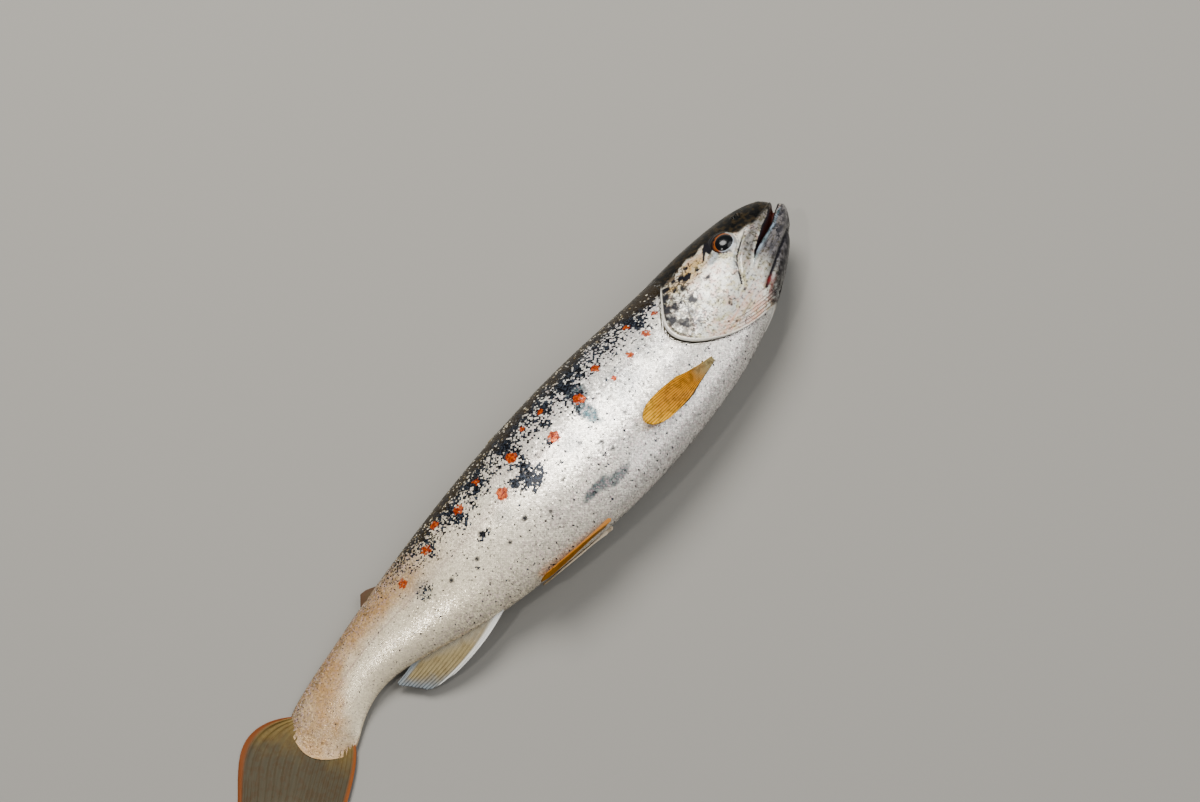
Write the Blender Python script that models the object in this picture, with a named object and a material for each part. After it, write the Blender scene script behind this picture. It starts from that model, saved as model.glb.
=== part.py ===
# An amago trout, life size, lying on its left side on a flat floor as it would rest.
#
# The body is shaped in straight "fish" coordinates and then bent along its backbone:
#   s  along the body, from the tip of the upper jaw towards the tail
#   v  towards the back (+) or the belly (-)
#   u  towards the right flank (+) or the left flank (-)
# The head points to +X, the back to +Y, and the right flank faces up (+Z).

import math

import bmesh
import bpy
import numpy as np
from mathutils import Vector

# Driving dimensions, metres and radians
BODY = 0.210                      # upper jaw to the root of the tail fin
HEAD = 0.0600                     # upper jaw to the rear edge of the gill cover
NAPE_SWEEP = 0.0140               # how far the head's rear edge lies forward at the nape
THROAT_SWEEP = 0.0270             # and how far under the throat
VENT = 0.147                      # where the trunk ends and the tail begins
PEDUNCLE_END = BODY + 0.0015      # end of the solid tail, inside the fin's root
EYE_RADIUS = 0.0050
EYE_DEPTH = 0.0036                # half thickness of the flattened eye
EYE_AT = 0.0259                   # s of the eye's centre
EYE_HEIGHT = 0.0025               # v of the eye's centre
EYE_SUNK = 0.0022                 # how far the eye's centre lies under the skin
GAPE_CORNER = (0.0252, -0.0082)   # s, v of the corner of the mouth
UPPER_LIP = 0.0018                # v of the open mouth's upper edge, ahead of the snout
LOWER_LIP = -0.0022               # v of its lower edge there
SNOUT_BACK = 0.0036               # how far the tip of the upper jaw is set back
CHIN_BACK = 0.0008                # and the tip of the lower jaw
SNOUT_REACH = 0.018               # s where that ends
SNOUT_BAND = (-0.0045, -0.0010)   # v between which the one turns into the other
JAW_HINGE = (0.0325, -0.0130)     # s, v where the lower jaw meets the cheek
THROAT = 0.0355                   # s of the lower jaw's rear end at the throat
COVER_FRONT = 0.0385              # s of the gill cover's front edge at mid height
COVER_DEPTH = 0.86                # inner side of a gill cover, as a share of the half width
FIN_THICKNESS = 0.0008
GAP = 0.0003                      # clearance between touching pieces
CUT = 0.0005                      # clearance measured along the body
FLAT = 0.0011                     # how deep the resting flank is pressed flat

# Pose
HEAD_TURN = math.radians(12.6)    # the head bends towards the back
TAIL_BOW = math.radians(-6.3)     # the rear trunk bends towards the back
TAIL_TURN = math.radians(35.0)    # the tail fin swings towards the belly
ROLL = math.radians(15.7)         # the belly is turned up at the trunk
TAIL_ROLL = math.radians(3.0)     # the tail lies almost flat
HEAD_LIFT = 0.0085                # the snout stands off the floor
MID = 0.45 * BODY                 # the straightest part of the body, where the bends begin

# Section sizes as shares of BODY: place, height over the axis, depth under it, half width
STATIONS = (
    (0.000, 0.000, 0.000, 0.000),
    (0.010, 0.021, 0.0225, 0.018),
    (0.040, 0.039, 0.044, 0.031),
    (0.090, 0.059, 0.067, 0.043),
    (0.160, 0.078, 0.089, 0.053),
    (0.250, 0.093, 0.106, 0.058),
    (0.360, 0.105, 0.116, 0.060),
    (0.490, 0.107, 0.119, 0.0575),
    (0.640, 0.095, 0.101, 0.047),
    (0.730, 0.080, 0.084, 0.038),
    (0.810, 0.063, 0.062, 0.028),
    (0.900, 0.0455, 0.045, 0.018),
    (0.960, 0.048, 0.047, 0.0125),
    (1.000, 0.053, 0.052, 0.0095),
)


def smooth(x):
    x = np.clip(x, 0.0, 1.0)
    return x * x * (3.0 - 2.0 * x)


def natural_spline(xs, ys):
    """Coefficients of the natural cubic spline through the points."""
    n = len(xs)
    h = np.diff(xs)
    rows = np.eye(n)
    rhs = np.zeros(n)
    for i in range(1, n - 1):
        rows[i, i - 1:i + 2] = h[i - 1], 2 * (h[i - 1] + h[i]), h[i]
        rhs[i] = 3 * ((ys[i + 1] - ys[i]) / h[i] - (ys[i] - ys[i - 1]) / h[i - 1])
    c = np.linalg.solve(rows, rhs)
    b = np.diff(ys) / h - h * (2 * c[:-1] + c[1:]) / 3
    d = np.diff(c) / (3 * h)

    def value(x):
        x = np.clip(x, xs[0], xs[-1])
        i = np.clip(np.searchsorted(xs, x, side="right") - 1, 0, n - 2)
        t = x - xs[i]
        return ys[i] + t * (b[i] + t * (c[i] + t * d[i]))

    return value


# The root of s keeps the snout round: the sections grow like those of an ellipsoid there.
_TABLE = np.array(STATIONS)
_TOP, _BOTTOM, _WIDTH = (natural_spline(np.sqrt(_TABLE[:, 0]), _TABLE[:, k]) for k in (1, 2, 3))


def sizes(s):
    """Height over the axis, depth under it and half width at s."""
    q = np.sqrt(np.clip(np.asarray(s, float) / BODY, 0.0, 1.0))
    return _TOP(q) * BODY, _BOTTOM(q) * BODY, _WIDTH(q) * BODY


def section(s, t, share=1.0, offset=0.0):
    """v and u of the point at angle t round the section at s; t = 0 is the right flank."""
    top, bottom, width = sizes(s)
    sine, cosine = np.sin(t), np.cos(t)
    v = (np.where(sine > 0, top, bottom) * share + offset) * sine
    u = (width * share + offset) * np.sign(cosine) * np.abs(cosine) ** 0.95
    return v, u


def make_backbone():
    """Places and directions along the bent backbone, every half millimetre."""
    s = np.arange(-0.012, BODY + 0.050, 0.0005)
    heading = HEAD_TURN * smooth((MID - s) / MID)
    heading += TAIL_BOW * smooth((s - MID) / (0.5 * BODY))
    heading += TAIL_TURN * smooth((s - 0.80 * BODY) / (0.24 * BODY))
    roll = ROLL + (TAIL_ROLL - ROLL) * smooth((s - 0.5 * BODY) / (0.5 * BODY))
    top, bottom, width = sizes(s)
    half = (top + bottom) / 2
    reach = np.sqrt((half * np.sin(roll)) ** 2 + (width * np.cos(roll)) ** 2)
    lean = (top - bottom) / 2 * np.sin(roll)      # the axis isn't at mid height
    height = reach + lean - FLAT * smooth((s - 0.15 * BODY) / (0.1 * BODY))
    height += HEAD_LIFT * np.clip(1 - s / (0.35 * BODY), 0, 2) ** 2
    after = smooth((s - 0.93 * BODY) / (0.25 * BODY))
    height = height * (1 - after) + FIN_THICKNESS * after
    step = np.diff(s)[:, None]
    run = np.stack([-np.cos(heading), -np.sin(heading)], 1)
    place = np.vstack([[0, 0], np.cumsum((run[1:] + run[:-1]) / 2 * step, axis=0)])
    place -= place[np.argmin(np.abs(s - MID))]
    place = np.column_stack([place, height])
    forward = -np.gradient(place, axis=0)
    forward /= np.linalg.norm(forward, axis=1)[:, None]
    level = np.cross([0, 0, 1.0], forward)
    level /= np.linalg.norm(level, axis=1)[:, None]
    upward = np.cross(forward, level)
    sine, cosine = np.sin(roll)[:, None], np.cos(roll)[:, None]
    back = level * cosine - upward * sine
    flank = upward * cosine + level * sine
    return s, place, back, flank


_S, _PLACE, _BACK, _FLANK = make_backbone()


def along(s, table):
    return np.stack([np.interp(s, _S, table[:, k]) for k in range(3)], -1)


def set_back(s, v):
    """s with the snout made blunt: the upper jaw ends behind the lower jaw's tip."""
    low, high = SNOUT_BAND
    most = CHIN_BACK + (SNOUT_BACK - CHIN_BACK) * smooth((v - low) / (high - low))
    return s + most * np.clip(1 - s / SNOUT_REACH, 0, 1) ** 2


def bend(s, v, u, floor=0.0):
    """World points of fish coordinates; nothing goes lower than floor."""
    s, v, u = (np.asarray(a, float) for a in (s, v, u))
    s = set_back(s, v)
    points = along(s, _PLACE) + v[..., None] * along(s, _BACK) + u[..., None] * along(s, _FLANK)
    points[..., 2] = np.maximum(points[..., 2], floor)
    return points


def centre_shift():
    """The whole animal is moved so that its box stands on the origin."""
    s, t = np.meshgrid(BODY * np.linspace(0, 1, 300) ** 2, np.linspace(0, 2 * math.pi, 97))
    points = [bend(s, *section(s, t)).reshape(-1, 3)]
    p, q = np.meshgrid(np.linspace(0, 1, 61), np.linspace(0, 1, 31))
    points += [bend(*fin_point(p, q)).reshape(-1, 3) for fin_point, *_ in fin_list().values()]
    every = np.vstack(points)
    middle = (every.min(axis=0) + every.max(axis=0)) / 2
    return np.array([middle[0], middle[1], 0.0])


def material(name, colour, roughness, metallic=0.0):
    made = bpy.data.materials.get(name)
    if made is None:
        made = bpy.data.materials.new(name)
        made.use_nodes = True
        shader = made.node_tree.nodes["Principled BSDF"]
        shader.inputs["Base Color"].default_value = (*colour, 1.0)
        shader.inputs["Roughness"].default_value = roughness
        shader.inputs["Metallic"].default_value = metallic
    return made


SILVER = ("silver_flank", (0.60, 0.60, 0.57), 0.30, 0.35)
CHEEK = ("cheek", (0.66, 0.62, 0.58), 0.35, 0.25)
ORANGE = ("orange_fin", (0.72, 0.36, 0.05), 0.45)
OLIVE = ("olive_fin", (0.42, 0.36, 0.22), 0.45)
EYE = ("eye", (0.04, 0.03, 0.02), 0.08)


def add(name, bm, finish, shade=40):
    """Turn a bmesh into a named object with its material, shaded smooth."""
    bmesh.ops.recalc_face_normals(bm, faces=bm.faces)
    if bm.calc_volume(signed=True) < 0:
        bmesh.ops.reverse_faces(bm, faces=bm.faces)
    mesh = bpy.data.meshes.new(name)
    bm.to_mesh(mesh)
    bm.free()
    mesh.shade_smooth()
    mesh.set_sharp_from_angle(angle=math.radians(shade))
    mesh.materials.append(material(*finish))
    piece = bpy.data.objects.new(name, mesh)
    bpy.context.collection.objects.link(piece)
    return piece


def wrapped_grid(columns, rows, place, weld=1e-5):
    """A grid over 0..1 by 0..1 whose corners place() puts in space; its meeting edges are welded."""
    bm = bmesh.new()
    bmesh.ops.create_grid(bm, x_segments=columns, y_segments=rows, size=0.5)
    a = np.array([vert.co.x + 0.5 for vert in bm.verts])
    b = np.array([vert.co.y + 0.5 for vert in bm.verts])
    for vert, point in zip(bm.verts, place(a, b)):
        vert.co = point
    if weld:
        bmesh.ops.remove_doubles(bm, verts=bm.verts, dist=weld)
        bmesh.ops.dissolve_degenerate(bm, edges=bm.edges, dist=weld / 2)
    return bm


def body_length(name, front, rear, finish, rows, caps=(3, 3), around=36, offset=0.0, even=1.0):
    """A closed length of body between the cut curves front(t) and rear(t).

    caps are the rows of faces on the two end faces; 0 leaves a point there.
    """
    columns = rows + sum(caps)

    def place(a, b):
        row = np.round(a * columns)
        t = b * 2 * math.pi
        run = np.clip((row - caps[0]) / rows, 0, 1) ** even
        edge = front(t) + (rear(t) - front(t)) * run
        share = np.ones_like(a)
        for cut, count, depth in ((front, caps[0], caps[0] - row), (rear, caps[1], row - caps[0] - rows)):
            left = 1 - np.clip(depth / max(count, 1), 0, 1)
            middle = cut(np.zeros(1))[0]
            edge = np.where(left < 1, middle + (cut(t) - middle) * left ** 2, edge)
            share = share * left
        v, u = section(edge, t, 1.0, offset)
        return bend(edge, v * share, u * share) - SHIFT

    bm = wrapped_grid(columns, around, place)
    bmesh.ops.triangulate(bm, faces=bm.faces, quad_method="SHORT_EDGE")   # end faces then match
    return add(name, bm, finish)


def gill_edge(t):
    """Rear edge of the gill covers: furthest back just under mid height, forward at the throat."""
    rise = np.degrees(np.arctan2(np.sin(t), np.abs(np.cos(t)))) + 10
    return HEAD - NAPE_SWEEP * smooth(rise / 55) - THROAT_SWEEP * smooth(-rise / 86)


def snout_point(t):
    return np.zeros_like(t)


def shoulder(t):
    return gill_edge(t) + CUT


def vent_cut(t):
    return np.full_like(t, VENT)


def tail_front(t):
    return vent_cut(t) + CUT


def tail_end(t):
    return np.full_like(t, PEDUNCLE_END)


def only_cuts(piece):
    """A shape that only cuts others is drawn as wire and left out of the model."""
    piece.hide_render = True
    piece.display_type = "WIRE"
    return piece


def cutter(name, bm):
    return only_cuts(add(name, bm, SILVER))


def combine(piece, operation, *tools):
    for tool in tools:
        step = piece.modifiers.new(operation.title() + " " + tool.name, "BOOLEAN")
        step.operation = operation
        step.object = tool
        step.solver = "EXACT"


def side_prism(outline, half_width):
    """A prism across the head whose side outline is given as (s, v) corners."""
    bm = bmesh.new()
    face = bm.faces.new([bm.verts.new((s, v, -half_width)) for s, v in outline])
    grown = bmesh.ops.extrude_face_region(bm, geom=[face])
    fresh = [item for item in grown["geom"] if isinstance(item, bmesh.types.BMVert)]
    bmesh.ops.translate(bm, verts=fresh, vec=(0, 0, 2 * half_width))
    bmesh.ops.subdivide_edges(bm, edges=bm.edges, cuts=6, use_grid_fill=True)
    for vert in bm.verts:
        vert.co = bend(*vert.co, floor=-1.0) - SHIFT
    return bm


def jaw_outline(mouth, clearance=0.0):
    """Side outline of all that lies under the mouth edge given, grown by the clearance."""
    ahead, deep = -0.007, -0.040
    return (
        (ahead, mouth),
        (GAPE_CORNER[0], GAPE_CORNER[1] + clearance),
        (JAW_HINGE[0] + clearance, JAW_HINGE[1] + clearance),
        (THROAT + clearance, deep),
        (ahead, deep),
    )


def cover_block(side, grown):
    """A block through one gill cover: outside its inner side, behind its front edge."""
    bm = bmesh.new()
    bmesh.ops.create_cube(bm, size=1.0)
    bmesh.ops.subdivide_edges(bm, edges=bm.edges, cuts=7, use_grid_fill=True)
    low, high = math.radians(-52), math.radians(40)
    share = COVER_DEPTH - grown * 40
    for vert in bm.verts:
        x, y, z = vert.co + Vector((0.5, 0.5, 0.5))
        spread = grown * 60
        t = (low - spread) + (high - low + 2 * spread) * y
        front = COVER_FRONT + 0.004 * math.sin(t * 1.3) - grown
        s = front + (HEAD + 0.004 - front) * x
        if side < 0:
            t = math.pi - t
        v, u = section(s, t, share + (1.25 - share) * z)
        vert.co = bend(s, v, u, floor=-1.0) - SHIFT
    return bm


def eye_ball(side, grown):
    """The flattened ball of one eye, seated in the side of the head."""
    top, _, width = sizes(EYE_AT)
    height = math.asin(EYE_HEIGHT / top)
    v, u = section(EYE_AT, height)
    ahead = 0.004
    slope = (sizes(EYE_AT + ahead)[2] - sizes(EYE_AT - ahead)[2]) / (2 * ahead)
    lean = math.atan2(v * width ** 2, u * top ** 2)
    outward = np.array([-slope, math.sin(lean), side * math.cos(lean)])
    outward /= np.linalg.norm(outward)
    centre = np.array([EYE_AT, v, side * u]) - outward * EYE_SUNK
    along_head = np.cross([0, 1.0, 0], outward)
    along_head /= np.linalg.norm(along_head)
    upright = np.cross(outward, along_head)
    bm = bmesh.new()
    bmesh.ops.create_uvsphere(bm, u_segments=20, v_segments=12, radius=1.0)
    radius, depth = EYE_RADIUS + grown, EYE_DEPTH + grown
    for vert in bm.verts:
        local = centre + along_head * vert.co.x * radius + upright * vert.co.y * radius
        local = local + outward * vert.co.z * depth
        vert.co = bend(*local, floor=-1.0) - SHIFT
    return bm


# Fins. Each is a fan of rays: a point is given by p, from the first ray to the last, and q, from
# root to margin, and comes back in fish coordinates.

def fan(p, q, root, angles, lengths, spread, lean=(0, 0, 0), closing=0.0):
    """Rays from the root line. Each runs back and turns towards spread by its angle.

    lean is added to every ray's direction; closing draws the ends of the rays together again.
    """
    p, q = np.asarray(p, float), np.asarray(q, float)
    first, last = np.array(root[0]), np.array(root[1])
    start = first + (last - first) * p[..., None]
    angle = (angles[0] + (angles[1] - angles[0]) * p) * (1 - closing * q)
    spread = np.array(spread) / np.linalg.norm(spread)
    step = np.cos(angle)[..., None] * np.array([1.0, 0, 0]) + np.sin(angle)[..., None] * spread
    step = step + np.array(lean)
    point = start + step * (lengths(p) * q)[..., None]
    return point[..., 0], point[..., 1], point[..., 2]


def tail_fin_point(p, q):
    """The tail fin: two lobes with a shallow fork; p runs from the back's lobe to the belly's."""
    outer = np.abs(2 * p - 1)
    length = 0.0280 + 0.0100 * outer ** 1.5 - 0.0045 * smooth((outer - 0.80) / 0.20)
    across = 1 - 2 * p
    flare = np.where(across > 0, 0.0165, 0.0030)       # the back's lobe spreads at once
    drawn_in = np.where(across > 0, 0.0115, 0.0)       # and then runs straight back
    v = across * (0.0094 + flare * (1 - (1 - q) ** 6) - drawn_in * q)
    return BODY - 0.0035 + 0.0010 * p + length * q, v, 0 * v


def dorsal_point(p, q):
    """The back fin, folded down along the back."""
    def lengths(p):
        return 0.0215 - 0.0100 * p
    root = ((0.0930, 0.0205, 0.0), (0.1210, 0.0195, 0.0))
    return fan(p, q, root, (math.radians(12), math.radians(6)), lengths, (0, 1.0, 0), (0, 0, -0.11))


def adipose_point(p, q):
    """The small fleshy fin in front of the tail."""
    def lengths(p):
        return 0.0088 - 0.0030 * p
    root = ((0.1660, 0.0110, 0.0), (0.1710, 0.0100, 0.0))
    return fan(p, q, root, (math.radians(40), math.radians(16)), lengths, (0, 1.0, 0), closing=0.3)


def anal_point(p, q):
    """The fin behind the vent, folded back."""
    def lengths(p):
        return 0.0318 - 0.0210 * p - 0.0030 * np.exp(-(p / 0.12) ** 2)
    root = ((0.1460, -0.0182, 0.0), (0.1745, -0.0105, 0.0))
    angles = (math.radians(18), math.radians(15))
    return fan(p, q, root, angles, lengths, (0, -1.0, 0), (0, 0, -0.12), closing=0.75)


def pectoral_point(side):
    """A breast fin, folded back along the body; its middle rays are the longest."""
    def lengths(p):
        return 0.0205 + 0.0090 * np.clip(1 - (2 * p - 1) ** 2, 0, 1) ** 0.75

    def place(p, q):
        low = 0.0178 if side > 0 else 0.0160
        root = ((0.0575, -low, side * 0.0060), (0.0575, 0.0030 - low, side * 0.0086))
        lean = (0, -0.04, 0.20) if side > 0 else (0, -0.03, -0.23)
        angles = (math.radians(7), math.radians(-12))
        return fan(p, q, root, angles, lengths, (0, -1.0, side * -0.45), lean, closing=0.35)
    return place


def pelvic_point(side):
    """A belly fin, folded back under the belly."""
    def lengths(p):
        return 0.0165 + 0.0080 * np.clip(1 - (1.6 * p - 0.5) ** 2, 0, 1) ** 0.75

    def place(p, q):
        if side > 0:
            root = ((0.1105, -0.0247, 0.0030), (0.1130, -0.0240, 0.0012))
            spread, lean = (0, -0.12, 0.99), (0, 0.10, 0.01)
        else:
            root = ((0.1105, -0.0226, -0.0058), (0.1130, -0.0233, -0.0040))
            spread, lean = (0, 0.42, -0.90), (0, 0.12, 0.02)
        angles = (math.radians(7), math.radians(-9))
        return fan(p, q, root, angles, lengths, spread, lean, closing=0.3)
    return place


def fin_list():
    """Every fin: its surface, its finish and the faces along its root and along its rays."""
    return {
        "tail_fin": (tail_fin_point, OLIVE, 16, 10),
        "dorsal_fin": (dorsal_point, OLIVE, 10, 4),
        "adipose_fin": (adipose_point, OLIVE, 5, 5),
        "anal_fin": (anal_point, OLIVE, 10, 6),
        "pectoral_fin_right": (pectoral_point(1), ORANGE, 6, 8),
        "pectoral_fin_left": (pectoral_point(-1), ORANGE, 6, 8),
        "pelvic_fin_right": (pelvic_point(1), ORANGE, 6, 7),
        "pelvic_fin_left": (pelvic_point(-1), ORANGE, 6, 7),
    }


def fin(name, point, finish, columns, rows, body):
    """A thin plate over the fan's surface, cut clear of the body at its root."""
    def place(p, q):
        return bend(*point(p, q), floor=FIN_THICKNESS / 2) - SHIFT
    plate = add(name, wrapped_grid(columns, rows, place, weld=0), finish)
    thick = plate.modifiers.new("Thickness", "SOLIDIFY")
    thick.thickness = FIN_THICKNESS
    thick.offset = 0.0
    combine(plate, "DIFFERENCE", body)
    return plate


def clear_scene():
    for piece in list(bpy.data.objects):
        bpy.data.objects.remove(piece)


def head_solid(name):
    return body_length(name, snout_point, gill_edge, CHEEK, rows=21, caps=(0, 3), even=1.5)


def build_head():
    head = head_solid("head")
    jaw = head_solid("lower_jaw")
    jaw_block = side_prism(jaw_outline(LOWER_LIP), 0.016)
    jaw_room = side_prism(jaw_outline(UPPER_LIP, GAP), 0.017)
    combine(jaw, "INTERSECT", cutter("jaw_block", jaw_block))
    combine(head, "DIFFERENCE", cutter("jaw_room", jaw_room))
    for side, hand in ((1, "right"), (-1, "left")):
        cover = head_solid("gill_cover_" + hand)
        combine(cover, "INTERSECT", cutter("cover_block_" + hand, cover_block(side, 0.0)))
        combine(head, "DIFFERENCE", cutter("cover_room_" + hand, cover_block(side, GAP)))
        combine(head, "DIFFERENCE", cutter("eye_socket_" + hand, eye_ball(side, GAP)))
        add("eye_" + hand, eye_ball(side, 0.0), EYE)


def build_body():
    body_length("trunk", shoulder, vent_cut, SILVER, rows=20)
    body_length("tail", tail_front, tail_end, SILVER, rows=14)


def build_fins():
    body = body_length("whole_body", snout_point, tail_end, SILVER, rows=60, caps=(1, 3), offset=GAP)
    only_cuts(body)
    for name, parts in fin_list().items():
        fin(name, *parts, body)


SHIFT = np.zeros(3)
SHIFT = centre_shift()
clear_scene()
build_head()
build_body()
build_fins()
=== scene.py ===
import math

import bmesh
import bpy
import numpy as np
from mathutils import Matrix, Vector


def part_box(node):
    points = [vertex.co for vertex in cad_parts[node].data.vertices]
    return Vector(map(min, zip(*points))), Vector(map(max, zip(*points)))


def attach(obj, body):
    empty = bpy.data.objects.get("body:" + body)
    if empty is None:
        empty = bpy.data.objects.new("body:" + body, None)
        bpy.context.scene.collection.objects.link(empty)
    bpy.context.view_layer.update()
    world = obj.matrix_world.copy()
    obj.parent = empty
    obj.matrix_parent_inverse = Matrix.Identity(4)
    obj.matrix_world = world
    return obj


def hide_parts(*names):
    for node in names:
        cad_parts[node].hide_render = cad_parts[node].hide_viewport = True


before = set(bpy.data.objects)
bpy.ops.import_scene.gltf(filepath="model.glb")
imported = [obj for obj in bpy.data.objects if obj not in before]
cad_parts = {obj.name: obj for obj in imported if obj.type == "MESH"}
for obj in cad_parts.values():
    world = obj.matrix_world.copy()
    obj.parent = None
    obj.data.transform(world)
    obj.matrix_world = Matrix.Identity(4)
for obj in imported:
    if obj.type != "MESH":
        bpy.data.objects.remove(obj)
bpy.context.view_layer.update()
print("frame loaded")

# The trout is shaped in straight fish coordinates and then bent along its backbone:
# s runs from the upper jaw to the tail, v to the back (+) or belly (-), u to the right flank (+).

mm = 0.001

fish = {
    "length": 0.210,               # upper jaw to the root of the tail fin
    "head": 0.0600,                # upper jaw to the rear edge of the gill cover
    "napeSweep": 0.0140,           # how far that edge lies forward at the nape
    "throatSweep": 0.0270,         # and under the throat
    "snoutBack": 0.0036,           # how far the tip of the upper jaw is set back
    "chinBack": 0.0008,            # and the tip of the lower jaw
    "snoutReach": 0.018,
    "snoutBand": (-0.0045, -0.0010),   # heights between which the one turns into the other
    "vent": 0.147,
    "shoulderGap": 0.0005,         # between the frame's head and trunk
    "fleshEnd": 0.2115,
    "flat": 0.0011,                # how deep the resting flank is pressed flat
    "finThickness": 0.0008,
    "coatDepth": 0.00024,          # how far the skin lies under the frame's surface
    "headTurn": math.radians(12.6),
    "tailBow": math.radians(-6.3),
    "tailTurn": math.radians(35.0),
    "roll": math.radians(15.7),
    "tailRoll": math.radians(3.0),
    "headLift": 0.0085,
    "straightest": 0.45,           # share of the length where the bends begin
    "stations": (                  # place, height, depth and half width as shares of the length
        (0.000, 0.000, 0.000, 0.000),
        (0.010, 0.021, 0.0225, 0.018),
        (0.040, 0.039, 0.044, 0.031),
        (0.090, 0.059, 0.067, 0.043),
        (0.160, 0.078, 0.089, 0.053),
        (0.250, 0.093, 0.106, 0.058),
        (0.360, 0.105, 0.116, 0.060),
        (0.490, 0.107, 0.119, 0.0575),
        (0.640, 0.095, 0.101, 0.047),
        (0.730, 0.080, 0.084, 0.038),
        (0.810, 0.063, 0.062, 0.028),
        (0.900, 0.0455, 0.045, 0.018),
        (0.960, 0.048, 0.047, 0.0125),
        (1.000, 0.053, 0.052, 0.0095),
    ),
}


def smooth(x):
    x = np.clip(x, 0.0, 1.0)
    return x * x * (3.0 - 2.0 * x)


def bell(x, width):
    return np.exp(-(x / width) ** 2)


def naturalSpline(xs, ys):
    n = len(xs)
    h = np.diff(xs)
    rows = np.eye(n)
    right = np.zeros(n)
    for i in range(1, n - 1):
        rows[i, i - 1:i + 2] = h[i - 1], 2 * (h[i - 1] + h[i]), h[i]
        right[i] = 3 * ((ys[i + 1] - ys[i]) / h[i] - (ys[i] - ys[i - 1]) / h[i - 1])
    c = np.linalg.solve(rows, right)
    b = np.diff(ys) / h - h * (2 * c[:-1] + c[1:]) / 3
    d = np.diff(c) / (3 * h)

    def value(x):
        x = np.clip(x, xs[0], xs[-1])
        i = np.clip(np.searchsorted(xs, x, side="right") - 1, 0, n - 2)
        t = x - xs[i]
        return ys[i] + t * (b[i] + t * (c[i] + t * d[i]))

    return value


stationTable = np.array(fish["stations"])
heightCurve, depthCurve, widthCurve = (
    naturalSpline(np.sqrt(stationTable[:, 0]), stationTable[:, k]) for k in (1, 2, 3))


def sectionSizes(s):
    q = np.sqrt(np.clip(np.asarray(s, float) / fish["length"], 0.0, 1.0))
    return tuple(curve(q) * fish["length"] for curve in (heightCurve, depthCurve, widthCurve))


def sectionPoint(s, t):                # v and u at angle t; 0 is the right flank
    top, bottom, width = sectionSizes(s)
    sine, cosine = np.sin(t), np.cos(t)
    v = np.where(sine > 0, top, bottom) * sine
    u = width * np.sign(cosine) * np.abs(cosine) ** 0.95
    return v, u


def makeBackbone():
    length = fish["length"]
    middle = fish["straightest"] * length
    s = np.arange(-0.012, length + 0.050, 0.0005)
    heading = fish["headTurn"] * smooth((middle - s) / middle)
    heading += fish["tailBow"] * smooth((s - middle) / (0.5 * length))
    heading += fish["tailTurn"] * smooth((s - 0.80 * length) / (0.24 * length))
    roll = fish["roll"] + (fish["tailRoll"] - fish["roll"]) * smooth((s - 0.5 * length) / (0.5 * length))
    top, bottom, width = sectionSizes(s)
    half = (top + bottom) / 2
    reach = np.sqrt((half * np.sin(roll)) ** 2 + (width * np.cos(roll)) ** 2)
    lean = (top - bottom) / 2 * np.sin(roll)
    height = reach + lean - fish["flat"] * smooth((s - 0.15 * length) / (0.1 * length))
    height += fish["headLift"] * np.clip(1 - s / (0.35 * length), 0, 2) ** 2
    after = smooth((s - 0.93 * length) / (0.25 * length))
    height = height * (1 - after) + fish["finThickness"] * after
    step = np.diff(s)[:, None]
    run = np.stack([-np.cos(heading), -np.sin(heading)], 1)
    place = np.vstack([[0, 0], np.cumsum((run[1:] + run[:-1]) / 2 * step, axis=0)])
    place -= place[np.argmin(np.abs(s - middle))]
    place = np.column_stack([place, height])
    forward = -np.gradient(place, axis=0)
    forward /= np.linalg.norm(forward, axis=1)[:, None]
    level = np.cross([0, 0, 1.0], forward)
    level /= np.linalg.norm(level, axis=1)[:, None]
    upward = np.cross(forward, level)
    sine, cosine = np.sin(roll)[:, None], np.cos(roll)[:, None]
    return s, place, level * cosine - upward * sine, upward * cosine + level * sine


boneS, bonePlace, boneBack, boneFlank = makeBackbone()
shift = np.zeros(3)


def alongBone(s, table):
    return np.stack([np.interp(s, boneS, table[:, k]) for k in range(3)], -1)


def setBack(s, v):                     # the blunt snout: the upper jaw ends behind the lower one
    low, high = fish["snoutBand"]
    most = fish["chinBack"] + (fish["snoutBack"] - fish["chinBack"]) * smooth((v - low) / (high - low))
    return s + most * np.clip(1 - s / fish["snoutReach"], 0, 1) ** 2


def bend(s, v, u, floor=0.0):          # fish coordinates to the frame's; nothing goes under floor
    s, v, u = (np.asarray(a, float) for a in (s, v, u))
    s = setBack(s, v)
    points = alongBone(s, bonePlace)
    points = points + v[..., None] * alongBone(s, boneBack) + u[..., None] * alongBone(s, boneFlank)
    points[..., 2] = np.maximum(points[..., 2], floor)
    return points - shift


def gillEdge(t):                       # s of the gill cover's rear edge at angle t
    rise = np.degrees(np.arctan2(np.sin(t), np.abs(np.cos(t)))) + 10
    atNape = fish["head"] - fish["napeSweep"] * smooth(rise / 55)
    return atNape - fish["throatSweep"] * smooth(-rise / 86)


def frameShift():                      # sets the straightened trunk on the frame's own trunk
    t, run = np.meshgrid(np.linspace(0, 2 * math.pi, 37), np.linspace(0, 1, 21))
    front = gillEdge(t) + fish["shoulderGap"]
    s = front + (fish["vent"] - front) * run
    points = bend(s, *sectionPoint(s, t)).reshape(-1, 3)
    low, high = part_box("trunk")
    middle = (points.min(axis=0) + points.max(axis=0)) / 2 - np.array((low + high) / 2)
    return np.array([middle[0], middle[1], 0.0])


shift = frameShift()


def surface(s, t):
    return bend(s, *sectionPoint(s, t), floor=-1.0)


def surfaceNormal(s, t):
    s = np.maximum(s, 0.3 * mm)
    ds, dt = 0.15 * mm, math.radians(0.6)
    normal = np.cross(surface(s - ds, t) - surface(s + ds, t), surface(s, t + dt) - surface(s, t - dt))
    return normal / np.maximum(np.linalg.norm(normal, axis=-1), 1e-12)[..., None]


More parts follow.
